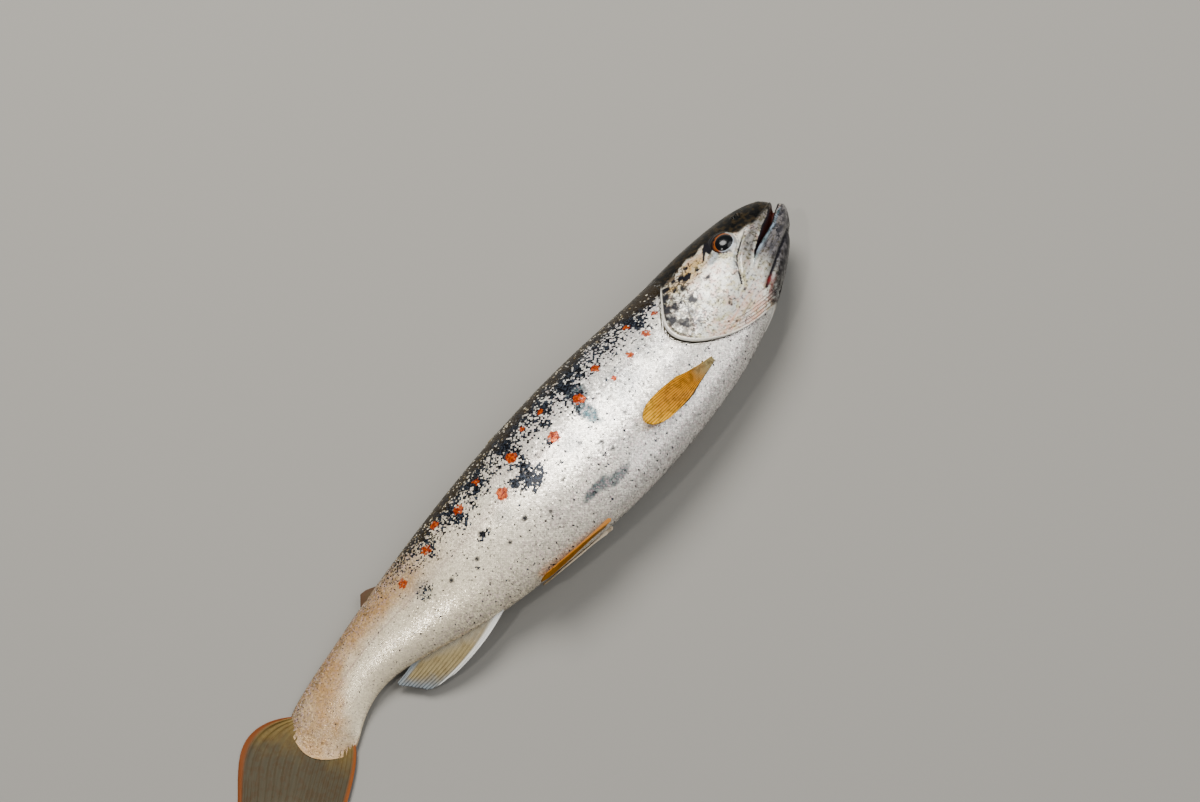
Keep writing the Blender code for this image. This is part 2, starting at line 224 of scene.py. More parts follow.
def linear(red, green, blue):          # a screen colour as the shader's linear one
    share = np.array([red, green, blue]) / 255
    return tuple(np.where(share <= 0.04045, share / 12.92, ((share + 0.055) / 1.055) ** 2.4))


# Small makers shared by the pieces

def addAttribute(mesh, name, values):
    values = np.asarray(values, np.float32)
    if values.ndim == 1:
        mesh.attributes.new(name, "FLOAT", "POINT").data.foreach_set("value", values)
    else:
        mesh.attributes.new(name, "FLOAT_VECTOR", "POINT").data.foreach_set("vector", values.ravel())


def cornerUv(mesh, uv):
    corner = np.empty(len(mesh.loops), np.int32)
    mesh.loops.foreach_get("vertex_index", corner)
    mesh.uv_layers.new(name="OFBake").data.foreach_set("uv", uv[corner].astype(np.float32).ravel())


def addPiece(name, mesh, material):
    mesh.shade_smooth()
    mesh.materials.append(material)
    piece = bpy.data.objects.new(name, mesh)
    bpy.context.collection.objects.link(piece)
    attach(piece, "root")
    return piece


def faceOutward(bm):
    bmesh.ops.recalc_face_normals(bm, faces=bm.faces)
    if bm.calc_volume(signed=True) < 0:
        bmesh.ops.reverse_faces(bm, faces=bm.faces)


def gridMesh(name, columns, rows, place, weld=1e-6):
    # place(a, b) takes shares along and across and gives points, attributes and the unwrap
    bm = bmesh.new()
    bmesh.ops.create_grid(bm, x_segments=columns, y_segments=rows, size=0.5)
    mesh = bpy.data.meshes.new(name)
    bm.to_mesh(mesh)
    co = np.empty(len(mesh.vertices) * 3, np.float32)
    mesh.vertices.foreach_get("co", co)
    co = co.reshape(-1, 3).astype(float)
    points, marks, uv = place(co[:, 0] + 0.5, co[:, 1] + 0.5)
    mesh.vertices.foreach_set("co", points.astype(np.float32).ravel())
    for key, values in marks.items():
        addAttribute(mesh, key, values)
    cornerUv(mesh, uv)
    bm.clear()
    bm.from_mesh(mesh)
    bmesh.ops.remove_doubles(bm, verts=bm.verts, dist=weld)
    bmesh.ops.dissolve_degenerate(bm, edges=bm.edges, dist=weld / 2)
    faceOutward(bm)
    bm.to_mesh(mesh)
    bm.free()
    return mesh


def ribbonDistance(s, v, path):
    # millimetres from a band whose path is (s, v, half width) in millimetres; inside is negative
    s, v = s / mm, v / mm
    nearest = np.full(np.shape(s), 1e3)
    for (s0, v0, w0), (s1, v1, w1) in zip(path[:-1], path[1:]):
        ds, dv = s1 - s0, v1 - v0
        share = np.clip(((s - s0) * ds + (v - v0) * dv) / (ds * ds + dv * dv), 0, 1)
        distance = np.hypot(s - s0 - share * ds, v - v0 - share * dv)
        nearest = np.minimum(nearest, distance - (w0 + (w1 - w0) * share))
    return nearest


# Eyes' places, which the skin needs first

eyeStyle = {
    "at": 0.0259, "height": 0.0025, "sunk": 0.0022,
    "radius": 0.0050, "depth": 0.0036,
    "pupil": (2.95, 2.50),             # half sizes along and across, millimetres
    "pupilPlace": (-0.50, -0.95),      # towards the snout, towards the back
    "opening": 3.95,                   # radius where the lid meets the ball
    "openingPlace": (-0.30, -0.45),
    "lid": 0.14,
    "pupilTone": linear(6, 7, 9),
    "irisTones": (linear(30, 27, 26), linear(176, 176, 170)),      # behind and above, in front and below
    "copperTones": (linear(96, 44, 14), linear(190, 104, 42)),
    "rimTones": (linear(176, 190, 200), linear(160, 84, 22)),      # under the pupil, over it
}


def eyeFrame(side):
    # centre and the axes snout-ward, back-ward and outward, in fish coordinates
    at = eyeStyle["at"]
    top, _, width = sectionSizes(at)
    v, u = sectionPoint(at, math.asin(eyeStyle["height"] / top))
    ahead = 0.004
    slope = (sectionSizes(at + ahead)[2] - sectionSizes(at - ahead)[2]) / (2 * ahead)
    lean = math.atan2(v * width ** 2, u * top ** 2)
    outward = np.array([-slope, math.sin(lean), side * math.cos(lean)])
    outward /= np.linalg.norm(outward)
    centre = np.array([at, v, side * u]) - outward * eyeStyle["sunk"]
    snoutward = np.cross(outward, [0, 1.0, 0]) * side
    snoutward /= np.linalg.norm(snoutward)
    snoutward *= -np.sign(snoutward[0])
    backward = np.cross(outward, snoutward)
    backward *= np.sign(backward[1])
    return centre, snoutward, backward, outward


def ballHeight(rho):
    radius, depth = eyeStyle["radius"] / mm, eyeStyle["depth"] / mm
    return depth * np.sqrt(np.clip(1 - (rho / radius) ** 2, 0, 1))


# Relief and markings of the head: places in millimetres from the tip of the upper jaw and its height

head = {
    # middle of the gape, half its opening, and where it ends
    "gape": ((0, -1.0), (2.9, -2.0), (7.4, -3.3), (10.9, -4.55), (13.1, -5.1), (15, -5.4), (17, -5.9),
             (20, -6.5), (24, -7.5), (27, -8.9)),
    "gapeHalf": ((0, 0.6), (2.9, 1.05), (7.4, 0.86), (10.9, 0.86), (13.5, 1.0), (15, 0.98), (17, 0.80),
                 (20, 0.45), (24, 0.16), (27, 0.0)),
    "corner": 27.0,
    # bands: place, height, half width
    "maxilla": ((2.0, -0.5, 0.4), (7.4, -1.7, 0.7), (15, -2.6, 1.4), (20, -3.7, 1.9), (24, -4.9, 2.1),
                (28.5, -6.8, 2.2), (31.8, -8.8, 1.5)),
    "snoutPlate": ((4, 3.0, 1.4), (12, 0.6, 1.8), (18, -0.2, 1.0)),
    "lip": ((5.5, -4.6, 0.5), (13, -6.6, 0.8), (20, -7.3, 1.0), (26, -8.6, 0.8), (29, -9.9, 0.3)),
    "dentary": ((4.5, -5.6, 1.0), (14, -9.0, 1.8), (24, -11.4, 1.8), (30, -13.0, 1.0)),
    # lines: place, height
    "jawFold": ((7, -9.0), (16.7, -11.6), (20.7, -12.7), (24.4, -13.7), (27, -14.4), (31, -15.7)),
    "cheekLine": ((19.6, -1.0), (23.3, -2.2), (28.3, -4.1), (30.4, -5.4), (32.2, -7.0), (33.3, -8.7),
                  (34.6, -10.2)),
    "preopercle": ((37.5, 4.0), (40.4, -1.0), (41.2, -6.5), (38.6, -11.2), (34.6, -13.2)),
    "suture": ((46.5, 4.0), (47.8, 1.2), (49.2, -1.5), (53.0, -6.5), (56.3, -9.2)),
    "branchLine": ((31, -15.6), (36, -14.8), (41, -15.4), (46, -15.0)),
    "throatLine": ((27.9, -15.6), (32.9, -17.2)),
    "nostrils": ((14.2, 4.6, 0.55), (16.0, 5.0, 0.4)),
    "crown": ((0, -3.0), (6, -3.0), (11, -2.8), (15, -2.2), (18, -1.4), (20.6, -0.4), (22.4, 1.2),
              (23.6, 4.4), (26, 6.4), (30, 7.0), (33, 7.2), (38, 8.8), (45, 8.6), (52, 10.2),
              (60, 11.0)),
    # dark lines: which, width, strength
    "lines": (("jawFold", 0.42, 0.95), ("cheekLine", 0.30, 1.0), ("suture", 0.20, 0.75),
              ("branchLine", 0.30, 0.45)),
    # dark patches: place, height, half sizes, strength
    "blotches": ((47.6, 8.0, 2.0, 1.2, 1.0), (51.0, 6.2, 2.8, 2.0, 1.0), (54.2, 3.4, 2.0, 2.6, 1.0),
                 (51.4, 1.6, 2.2, 1.8, 0.9), (56.0, -0.6, 1.8, 2.8, 0.95), (54.4, -4.4, 2.2, 2.2, 0.9),
                 (46.0, -1.2, 1.7, 2.1, 0.95), (44.4, 3.2, 1.6, 1.4, 0.8), (48.6, 3.8, 1.6, 1.1, 0.8),
                 (49.6, -3.4, 1.2, 1.6, 0.7), (37.6, -0.9, 1.3, 0.8, 0.7), (52.2, -7.4, 1.6, 1.2, 0.65),
                 (41.0, -11.2, 1.6, 1.0, 0.5), (43.6, 7.6, 1.2, 0.8, 0.9), (50.4, 9.0, 1.2, 0.9, 0.9)),
    "blueSpots": ((40.6, 4.7, 1.7, 1.1, 1), (41.8, 6.3, 1.1, 0.9, 1), (46.4, 5.4, 0.8, 0.6, 1),
                  (38.2, 7.2, 0.8, 0.6, 1), (37.4, 3.4, 0.6, 0.6, 1), (48.8, 1.0, 0.7, 0.5, 1)),
    "eyeStripe": ((26.5, 7.6, 1.2), (30.0, 6.2, 1.5), (33.2, 4.2, 0.9), (36, 2.6, 0.2)),
    "jawEnd": ((24, -9.3, 0.1), (28, -10.2, 0.6), (30, -11.2, 0.1)),
    "pores": ((22, -13.3), (18, -12.0), (14, -10.9), (10, -9.7)),
}


def bandMask(s, v, path, edge):
    return smooth(-ribbonDistance(s, v, path) / edge)


def lineMask(s, v, path, width):       # a path of no width of its own
    distance = ribbonDistance(s, v, [(x, y, 0.0) for x, y in path])
    return bell(np.maximum(distance, 0), width)


def gapeMiddle(s):
    return np.interp(s / mm, *zip(*head["gape"])) * mm


def gapeHalf(s):
    return np.interp(s / mm, *zip(*head["gapeHalf"])) * mm


def angleAt(s, v):                     # angle on the right flank where the section reaches v
    top, bottom, _ = sectionSizes(np.maximum(s, 1e-6))
    return np.arcsin(np.clip(v / np.where(v > 0, top, bottom), -1, 1))


def gillOpening(t):                    # 1 where the cover stands free, 0 over the nape
    rise = np.degrees(np.arctan2(np.sin(t), np.abs(np.cos(t))))
    return smooth((38 - rise) / 14) * (1 - 0.75 * smooth((-rise - 50) / 28))


def lowFlank(t):                       # 1 on the underside of the head
    return smooth((-np.degrees(np.arctan2(np.sin(t), np.abs(np.cos(t)))) - 30) / 12)


def headRelief(s, v, t):
    ahead = (gillEdge(t) - s) / mm                     # in front of the gill cover's edge
    onHead = smooth(ahead / 0.4)
    relief = 0.55 * bandMask(s, v, head["maxilla"], 0.8)
    relief += 0.15 * bandMask(s, v, head["snoutPlate"], 1.2)
    relief += 0.22 * bandMask(s, v, head["lip"], 0.7)
    relief += 0.26 * bandMask(s, v, head["dentary"], 1.4)
    relief -= 0.50 * lineMask(s, v, head["jawFold"], 0.55)
    relief -= 0.22 * lineMask(s, v, head["cheekLine"], 0.34)
    relief += 0.16 * lineMask(s + 1.0 * mm, v, head["preopercle"], 1.3)
    relief -= 0.10 * lineMask(s, v, head["suture"], 0.30)
    for s0, v0, radius in head["nostrils"]:
        distance = np.hypot(s / mm - s0, v / mm - v0)
        relief -= 0.6 * smooth((radius + 0.25 - distance) / 0.5)
        relief += 0.20 * bell(distance - radius - 0.45, 0.28)
    for s0, v0 in head["pores"]:
        relief -= 0.25 * bell(np.hypot(s / mm - s0, v / mm - v0), 0.3)
    rays = np.sin(ahead * 2 * math.pi / 1.7)
    relief += 0.15 * rays * lowFlank(t) * smooth(ahead / 1.0) * smooth((10 - ahead) / 4)
    relief += gillOpening(t) * 0.18 * bell(ahead - 0.7, 0.7)
    relief += gillOpening(t) * 0.34 * smooth((9 - ahead) / 9)
    return relief * onHead


# The skin: one sheet from the lips to the tail, with the mouth and gill slits folded in. It is open
# only round the root of the tail fin and, by a few hundredths of a millimetre, at the tip of the snout

skinStyle = {
    "headColumns": 180,
    "bodyColumns": 186,
    "tailColumns": 12,
    "halfRows": 124,                   # rows on one flank, back to belly
    "upperShare": 70 / 124,            # rows over the mouth
    "slotShare": 12 / 124,             # rows inside it
    # columns that fold under the free edge of the gill cover: place past the edge and depth
    "slit": ((0.02, -0.10), (-0.25, -0.45), (-1.1, -0.80), (-1.0, -1.15), (-0.1, -1.05), (0.4, -0.78),
             (0.9, -0.45), (1.5, -0.20), (2.3, -0.04)),
    "slitStep": 0.25 * mm,             # between those columns where the cover is closed
    "tailEnd": 0.006,                  # length of the flesh that thins into the tail fin's root
    "thinning": 0.80, "narrowing": 0.12,
    "end": 0.216,                      # where the unwrap and the last ring of scales end
}
skinColumns = (skinStyle["headColumns"] + len(skinStyle["slit"]) + skinStyle["bodyColumns"]
               + skinStyle["tailColumns"])


def arcAngles(s, share):
    # angle on the right flank at a share of the arc from back to belly, for arrays of s and share
    stations = np.linspace(0.0005, fish["fleshEnd"], 90)
    shares = np.linspace(0, 1, 91)
    table = np.empty((90, 91))
    t = np.linspace(math.pi / 2, -math.pi / 2, 241)
    for i, station in enumerate(stations):
        v, u = sectionPoint(station, t)
        arc = np.concatenate([[0], np.cumsum(np.hypot(np.diff(v), np.diff(u)))])
        table[i] = np.interp(shares, arc / arc[-1], t)
    x = np.clip((s - stations[0]) / (stations[1] - stations[0]), 0, 88.999)
    y = np.clip(share * 90, 0, 89.999)
    i, j = x.astype(int), y.astype(int)
    fx, fy = x - i, y - j
    return ((table[i, j] * (1 - fx) + table[i + 1, j] * fx) * (1 - fy)
            + (table[i, j + 1] * (1 - fx) + table[i + 1, j + 1] * fx) * fy)


def rowAngle(s, share):
    # rows follow the lips ahead of the corner of the mouth and run evenly behind it
    half = np.maximum(gapeHalf(s), 0.10 * mm)
    middle = gapeMiddle(s)
    upper, lower = angleAt(s, middle + half), angleAt(s, middle - half)
    first = skinStyle["upperShare"]
    second = first + skinStyle["slotShare"]
    back, belly = math.pi / 2, -math.pi / 2
    t = np.where(
        share < first, back + (upper - back) * share / first,
        np.where(share < second, upper + (lower - upper) * (share - first) / (second - first),
                 lower + (belly - lower) * (share - second) / (1 - second)))
    relax = smooth((s / mm - head["corner"]) / 12)
    return t * (1 - relax) + arcAngles(s, share) * relax


def tailArc(t):                        # rear end of the scaled flesh, rounded over the fin's root
    return (209 + 6.4 * np.cos(t) ** 2 + 2.6 * np.clip(-np.sin(t), 0, 1) ** 2) * mm


def skinColumn(column, t):
    # s, depth and share of the tail's end for every column at angle t
    style = skinStyle
    slit = np.array(style["slit"]) * mm
    firstBody = style["headColumns"] + len(slit)
    edge = gillEdge(t)
    free = gillOpening(t)
    bodyEnd = fish["length"] - style["tailEnd"]
    onHead = edge * np.clip(column / style["headColumns"], 0, 1) ** 1.3
    k = np.clip(column - style["headColumns"] - 1, 0, len(slit) - 1).astype(int)
    inSlit = edge + slit[k, 0] * free + style["slitStep"] * (k + 1) * (1 - free)
    start = edge + slit[-1, 0] * free + style["slitStep"] * len(slit) * (1 - free)
    run = np.clip((column - firstBody) / style["bodyColumns"], 0, 1)
    onBody = start + (bodyEnd - start) * run
    over = np.clip((column - firstBody - style["bodyColumns"]) / style["tailColumns"], 0, 1)
    onTail = bodyEnd + (tailArc(t) - bodyEnd) * over
    ahead = column <= style["headColumns"]
    inFold = ~ahead & (column <= firstBody)
    s = np.where(ahead, onHead, np.where(inFold, inSlit, np.where(over > 0, onTail, onBody)))
    return s, np.where(inFold, slit[k, 1] * free, 0.0), over


def thinTail(v, u, over):              # the flesh runs out over the tail fin's root
    return (v * (1 - skinStyle["narrowing"] * over ** 2),
            u * (1 - skinStyle["thinning"] * smooth(over / 0.95)))


def placeSkin(a, b):
    column = np.round(a * skinColumns)
    side = np.where(b <= 0.5, 1.0, -1.0)
    share = 1 - np.abs(1 - 2 * b)
    t = math.pi / 2 - math.pi * share                  # a first guess, then rows along the lips
    for _ in range(4):
        s, depth, over = skinColumn(column, t)
        t = rowAngle(s, share)
    v, u = sectionPoint(s, t)
    v, u = thinTail(v, u, over)
    u = u * side
    signedT = np.where(side > 0, t, math.pi - t)
    normal = surfaceNormal(s, signedT)
    relief = headRelief(s, v, t)
    scaled = smooth((s - gillEdge(t)) / (2 * mm))
    points = bend(s, v, u, floor=-1.0)
    lift = relief * mm + depth - fish["coatDepth"] * scaled - 0.06 * mm * (1 - scaled)
    points = points + normal * lift[:, None] * (1 - over[:, None])
    points = foldMouth(points, s, v, side)
    points = seatEyes(points, side)
    points[:, 2] = np.maximum(points[:, 2], fish["coatDepth"])
    marks = bodyMarks(s, v, u, t, side)
    # painted shade: the skin folded under the free edge of the gill cover
    marks["wall"] = smooth((-depth / mm - 0.10) / 0.35) * gillOpening(t)
    marks["mouth"] = mouthShare(s, v)
    marks.update(facePaint(s, v, t))
    return points, marks, unwrap(s, b)


def unwrap(s, b):                      # the skin rolled out flat, with a margin
    margin, run = 0.02, 0.96
    return np.stack([margin + run * np.clip(s / skinStyle["end"], 0, 1), margin + run * b], -1)


def mouthShare(s, v):                  # 1 inside the open mouth
    half = gapeHalf(s)
    inside = half - np.abs(v - gapeMiddle(s))
    ready = smooth((head["corner"] * mm - s) / (1.5 * mm))
    return smooth(inside / (0.22 * mm)) * ready


def foldMouth(points, s, v, side):
    w = mouthShare(s, v)
    corner = head["corner"] * mm
    deep = np.minimum(s + 4.5 * mm * smooth((14 * mm - s) / (14 * mm)), corner - 1 * mm)
    middle = gapeMiddle(deep)
    u = side * sectionSizes(deep)[2] * np.abs(np.cos(angleAt(deep, middle))) * 0.30
    rise = (v - gapeMiddle(s)) * 0.8
    target = bend(deep, middle + rise, u, floor=-1.0)
    return points + (target - points) * w[:, None]


def seatEyes(points, side):
    # a lid hugs each ball, and the skin dives under it inside the opening
    for hand in (1, -1):
        centre, *directions = eyeFrame(hand)
        seat = bend(*centre, floor=-1.0)
        ends = [bend(*(centre + axis * mm), floor=-1.0) - seat for axis in directions]
        axes = [end / np.linalg.norm(end) for end in ends]
        d = (points - seat) / mm
        x, y, z = (d @ axis for axis in axes)
        rho = np.hypot(x, y)
        ball = ballHeight(rho)
        a, b = eyeStyle["openingPlace"]
        hole = np.hypot(x - a, y - b)
        near = smooth((5.6 - rho) / 1.5) * (z > 0)
        lid = np.maximum(z, ballHeight(np.minimum(rho, 4.60)) + eyeStyle["lid"])
        target = z + (lid - z) * near
        under = smooth((eyeStyle["opening"] + 0.12 - hole) / 0.34)
        target = target + (ball - 0.5 - target) * under
        use = (side == hand) & (rho < 6.0) & (z > 0)
        points = points + np.where(use, target - z, 0.0)[:, None] * axes[2] * mm
    return points


# Markings, worked out the same way for the skin and for every scale

markings = {
    # orange-red spots: place, height, radius in millimetres
    "red": ((56.6, 5.9, 1.1), (65, 10.2, 1.2), (63.8, 3.3, 1.5), (72.2, 2.3, 1.2), (81.4, 8, 1.5),
            (81, 0.8, 0.9), (91.8, 4.3, 1.9), (101, 11.6, 1.1), (104.6, 1.6, 1.9), (108.2, 12.1, 1.0),
            (116.6, 7.8, 1.9), (128.2, 11.6, 1.2), (125.8, 1.8, 2.1), (137.4, 9.5, 1.7),
            (145.4, 12.2, 1.5), (151.8, 8, 1.6), (163, 6, 1.5)),
    # and small black ones
    "black": ((97.4, -10.2, 0.8), (96.6, -13.7, 0.7), (101.4, -5.6, 0.75), (126.6, -8.4, 0.9),
              (137.8, -1.8, 1.0), (112.0, -9.4, 0.6), (120.5, -12.6, 0.6), (134.0, -9.8, 0.6),
              (143.4, -5.8, 0.7), (86.8, -9.0, 0.6), (152.4, -4.4, 0.7)),
    # steel-blue bars: place, height, half sizes, strength
    "parr": ((93.2, -0.4, 2.3, 5.6, 1.15), (91.0, 6.0, 3.6, 3.4, 0.95), (101, -19.6, 4.2, 1.5, 0.85),
             (104.6, -18.7, 3.4, 1.2, 0.8), (108, -17.6, 5.0, 1.4, 0.9), (67, -1.0, 5.0, 5.0, 0.32),
             (81, -1.5, 7.0, 5.5, 0.38), (103, -3.5, 3.0, 3.4, 0.35), (130, -3.0, 2.8, 2.8, 0.30),
             (160, 0.0, 2.4, 3.4, 0.35)),
    # dark clusters of scales: place, height, half sizes, share of dark scales
    "saddles": ((62, 12, 4.5, 7.5, 0.95), (74, 15, 3.0, 4.5, 0.7), (86.0, 14.5, 3.6, 6.0, 0.9),
                (91.6, 10.5, 2.9, 8.0, 1.1), (100, 13, 3.2, 5.0, 0.95), (103.5, 6.4, 1.8, 2.4, 0.8),
                (108, 17, 3.0, 3.0, 0.8), (115.5, 12, 3.2, 7.5, 1.1), (116.5, 2.8, 2.6, 3.0, 0.8),
                (117.0, -1.8, 4.2, 3.8, 1.0), (128.5, 13, 2.8, 5.8, 1.0), (121.5, 1.0, 1.8, 2.0, 0.9),
                (139.0, 10.0, 2.6, 6.2, 1.0), (151.0, 10.5, 2.4, 5.6, 0.95), (133.5, 6.0, 1.4, 1.6, 0.7),
                (160, -1.0, 2.8, 2.6, 0.75), (106.5, 2.5, 1.2, 1.6, 0.6), (95.5, 1.5, 1.4, 1.8, 0.7),
                (137.5, -2.4, 2.2, 1.3, 0.55), (109, -5.2, 1.6, 1.0, 0.45)),
}


def wave(x, y, seed):                  # gentle repeatable unevenness in -1..1
    return (np.sin(x * 0.61 + y * 0.83 + seed) + np.sin(x * 1.13 - y * 0.57 + seed * 2.3)
            + np.sin(x * 0.29 + y * 1.47 + seed * 3.1)) / 3


def most(*shares):                     # the strongest of several shares at each point
    return np.maximum.reduce(shares)


def patches(x, y, places, ragged, pitch, reach, edge, finer=0.0):
    # ovals with a ragged rim: place, height, half sizes, strength
    share = np.zeros_like(x)
    for x0, y0, half, tall, strength in places:
        distance = np.hypot((x - x0) / half, (y - y0) / tall) + ragged * wave(x * pitch, y * pitch, x0)
        if finer:
            distance = distance + finer * wave(x * 3.3, y * 3.3, y0)
        share = np.maximum(share, strength * smooth((reach - distance) / edge))
    return share


def dots(x, y, places, reach, edge, ragged=0.0, squash=1.0):
    # round spots: place, height, radius
    share = np.zeros_like(x)
    for x0, y0, radius in places:
        distance = np.hypot(x - x0, (y - y0) * squash)
        if ragged:
            distance = distance + ragged * wave(x * 3.4, y * 3.4, x0)
        share = np.maximum(share, smooth((radius + reach - distance) / edge))
    return share


def bodyMarks(s, v, u, t, side):
    x, y = s / mm, v / mm
    y = y + np.where(side > 0, 0.0, 0.6)
    x = x + np.where(side > 0, 0.0, 2.2)               # the left flank's marks don't mirror exactly
    top, bottom, _ = sectionSizes(s)
    rise = v / np.maximum(np.where(v > 0, top, bottom), 1e-6)
    uneven = wave(x, y, 1.0)
    rear = smooth((x - 146) / 26)
    nape = 0.24 * smooth((68 - x) / 14)
    back = smooth((rise - 0.62 + nape + 0.10 * uneven) / 0.22) * (1 - 0.65 * rear)
    # share of dark scales: thick over the back, thin down the flank, dense in the saddles
    speckle = 0.004 + 0.50 * smooth((y - 3.8 + 2.2 * uneven) / 8.0) + 0.42 * smooth((rise - 0.50) / 0.35)
    speckle = speckle + 0.04 * smooth((y + 1.0) / 4.0)
    speckle = speckle + 0.6 * smooth((66 - x) / 14) * smooth((y - 7) / 4)
    speckle = most(speckle, patches(x, y, markings["saddles"], 0.30, 1.4, 1.30, 0.75, finer=0.24))
    speckle = np.minimum(speckle, 0.91 + 0.15 * smooth((66 - x) / 16)) * (1 - 0.9 * rear)
    belly = smooth((-rise - 0.62) / 0.30)
    slant = 9.0 * smooth((x - 184) / 26)               # the tan reaches lower towards the tail
    warm = smooth((x - 142) / 24) * (0.10 + 0.85 * smooth((y + 1.5 + slant + uneven) / 7.0))
    warm = most(warm, 0.92 * smooth((x - 203) / 9))
    lateral = bell(y - 0.7, 0.22) * smooth((x - 62) / 8) * smooth((200 - x) / 8)
    band = 0.42 * bell(y - 0.9 - 0.5 * uneven, 2.2) * smooth((x - 98) / 12) * smooth((170 - x) / 12)
    red = dots(x, y, markings["red"], 0.45, 1.3, ragged=0.45, squash=0.9)
    black = dots(x, y, markings["black"], 0.3, 0.6)
    parr = np.minimum(patches(x, y, markings["parr"], 0.16, 1.6, 1.18, 0.50), 1)
    onHead = smooth((gillEdge(t) - s) / (1.0 * mm))
    return {
        "fish": np.stack([s, v, u], -1),
        "shade": np.stack([back, belly, warm], -1),
        "marks": np.stack([red * (1 - onHead), parr * (1 - onHead), speckle], -1),
        "spots": np.stack([black * (1 - onHead), onHead, most(lateral, band)], -1),
    }


def facePaint(s, v, t):
    # shares of the head's colours, dark also with painted shade underneath: crown, gold, dark / pink,
    # pale, blue / red, fleck, jaw
    x, y = s / mm, v / mm
    ahead = (gillEdge(t) - s) / mm
    free = gillOpening(t)
    uneven, rough = wave(x * 1.3, y * 1.3, 4.0), wave(x * 3.1, y * 3.1, 1.7)
    eyeX, eyeY = x - eyeStyle["at"] / mm, y - eyeStyle["height"] / mm
    overBall = smooth(6.4 - np.hypot(eyeX, eyeY)) * smooth((0.15 * eyeX + eyeY - 0.8) / 1.4)
    gapeEdge = (np.abs(v - gapeMiddle(s)) - gapeHalf(s)) / mm
    blotch = patches(x, y, head["blotches"], 0.30, 2.6, 1.45, 1.1)
    # painted shade: darker over the underside of the head, fading out towards its rear
    underShade = smooth((-np.sin(t) - 0.80) / 0.18) * smooth((40 - x) / 10)
    crown = smooth((y - np.interp(x, *zip(*head["crown"])) + 0.5 * uneven + 0.25 * rough) / 1.1)
    gold = bell(np.hypot((x - 38) / 1.8, (y - 5.0) / 0.9), 3.4)
    gold = gold + 0.7 * bell(np.hypot(x - 46.5, y - 6.4), 2.4)
    dark = most(
        overBall,
        bandMask(s, v + 0.35 * rough * mm, head["eyeStripe"], 1.1),
        *(strength * lineMask(s, v, head[name], width) for name, width, strength in head["lines"]),
        0.85 * bell(np.maximum(gapeEdge, 0), 0.40) * smooth((27.5 - x) / 3),
        0.80 * blotch,
        0.55 * bell(ahead - 1.7, 0.40) * free * smooth((y + 9) / 6),
        0.60 * underShade,
        patches(x, y, head["blueSpots"], 0.25, 3, 1.15, 0.4))
    pale = most(
        bell(ahead - 0.45, 0.42) * free * smooth((11.5 - y) / 3),
        bell(np.hypot((x - 21.3) / 2.4, y + 0.9 + 0.25 * (x - 21.3)), 0.55),
        0.75 * bandMask(s, v, head["jawEnd"], 0.5))
    pink = smooth((-12.2 - y) / 1.5) * smooth((x - 31) / 5) * smooth(ahead / 1.5)
    jaw = most(
        smooth((-y + 1.02 * (gapeMiddle(s) - gapeHalf(s)) / mm) / 0.8) * smooth((34 - x) / 14),
        0.85 * bandMask(s, v, head["maxilla"], 0.9) * smooth((36 - x) / 12),
        0.8 * smooth((x - 3) / 3) * smooth((21 - x) / 6) * smooth((1.2 - y) / 1.5))
    blue = most(
        bandMask(s, v, head["lip"], 0.7),
        0.9 * smooth((1.1 - np.hypot((x - 32) / 3.0, (y - 1.6 + 0.18 * (x - 32)) / 1.7)) / 0.5),
        0.8 * lineMask(s, v - 0.9 * mm, head["cheekLine"][1:5], 0.35))
    fleck = most(
        smooth((x - 33) / 9) * smooth((y + 12) / 6) * (0.55 + 0.65 * smooth((15 - ahead) / 6)),
        0.75 * gold, 1.25 * blotch, 0.5 * jaw)
    red = most(
        bell(np.hypot((x - 28.8) / 2.2, y + 15.0), 0.75),
        0.7 * lineMask(s, v, head["throatLine"], 0.3))
    return {
        "face": np.stack([crown, np.clip(gold, 0, 1), dark], -1),
        "tint": np.stack([pink, pale, blue], -1),
        "extra": np.stack([red, fleck, jaw], -1),
    }


# Materials

def newMaterial(name, roughness, metallic=0.0):
    material = bpy.data.materials.new(name)
    material.use_nodes = True
    shader = material.node_tree.nodes["Principled BSDF"]
    shader.inputs["Roughness"].default_value = roughness
    shader.inputs["Metallic"].default_value = metallic
    return material, material.node_tree, shader


def addNode(tree, kind, **settings):
    node = tree.nodes.new("ShaderNode" + kind)
    for key, value in settings.items():
        setattr(node, key, value)
    return node


def attribute(tree, name):
    return addNode(tree, "Attribute", attribute_name=name)


def addSplit(tree, vector):
    split = addNode(tree, "SeparateXYZ")
    tree.links.new(vector, split.inputs[0])
    return split.outputs


def parts(tree, name):                 # the three numbers of an attribute
    return addSplit(tree, attribute(tree, name).outputs["Vector"])


def feed(tree, socket, value):
    if isinstance(value, (int, float)):
        socket.default_value = value
    elif isinstance(value, tuple):
        socket.default_value = (*value, 1.0)
    else:
        tree.links.new(value, socket)


def calc(tree, operation, a, b=0.5):
    node = addNode(tree, "Math", operation=operation)
    feed(tree, node.inputs[0], a)
    feed(tree, node.inputs[1], b)
    return node.outputs[0]


def times(tree, a, b):
    return calc(tree, "MULTIPLY", a, b)


def plus(tree, a, b):
    return calc(tree, "ADD", a, b)


def minus(tree, a, b):
    return calc(tree, "SUBTRACT", a, b)


def larger(tree, a, b):
    return calc(tree, "MAXIMUM", a, b)


def stray(tree, value, amount):        # a noise as an even deviation both ways
    return times(tree, minus(tree, value, 0.5), amount)


def squareSum(tree, a, b):
    return calc(tree, "SQRT", plus(tree, times(tree, a, a), times(tree, b, b)))


def ramp(tree, value, low, high, first=0.0, last=1.0):
    node = addNode(tree, "MapRange", interpolation_type="SMOOTHSTEP")
    tree.links.new(value, node.inputs["Value"])
    for key, number in (("From Min", low), ("From Max", high), ("To Min", first), ("To Max", last)):
        node.inputs[key].default_value = number
    return node.outputs[0]


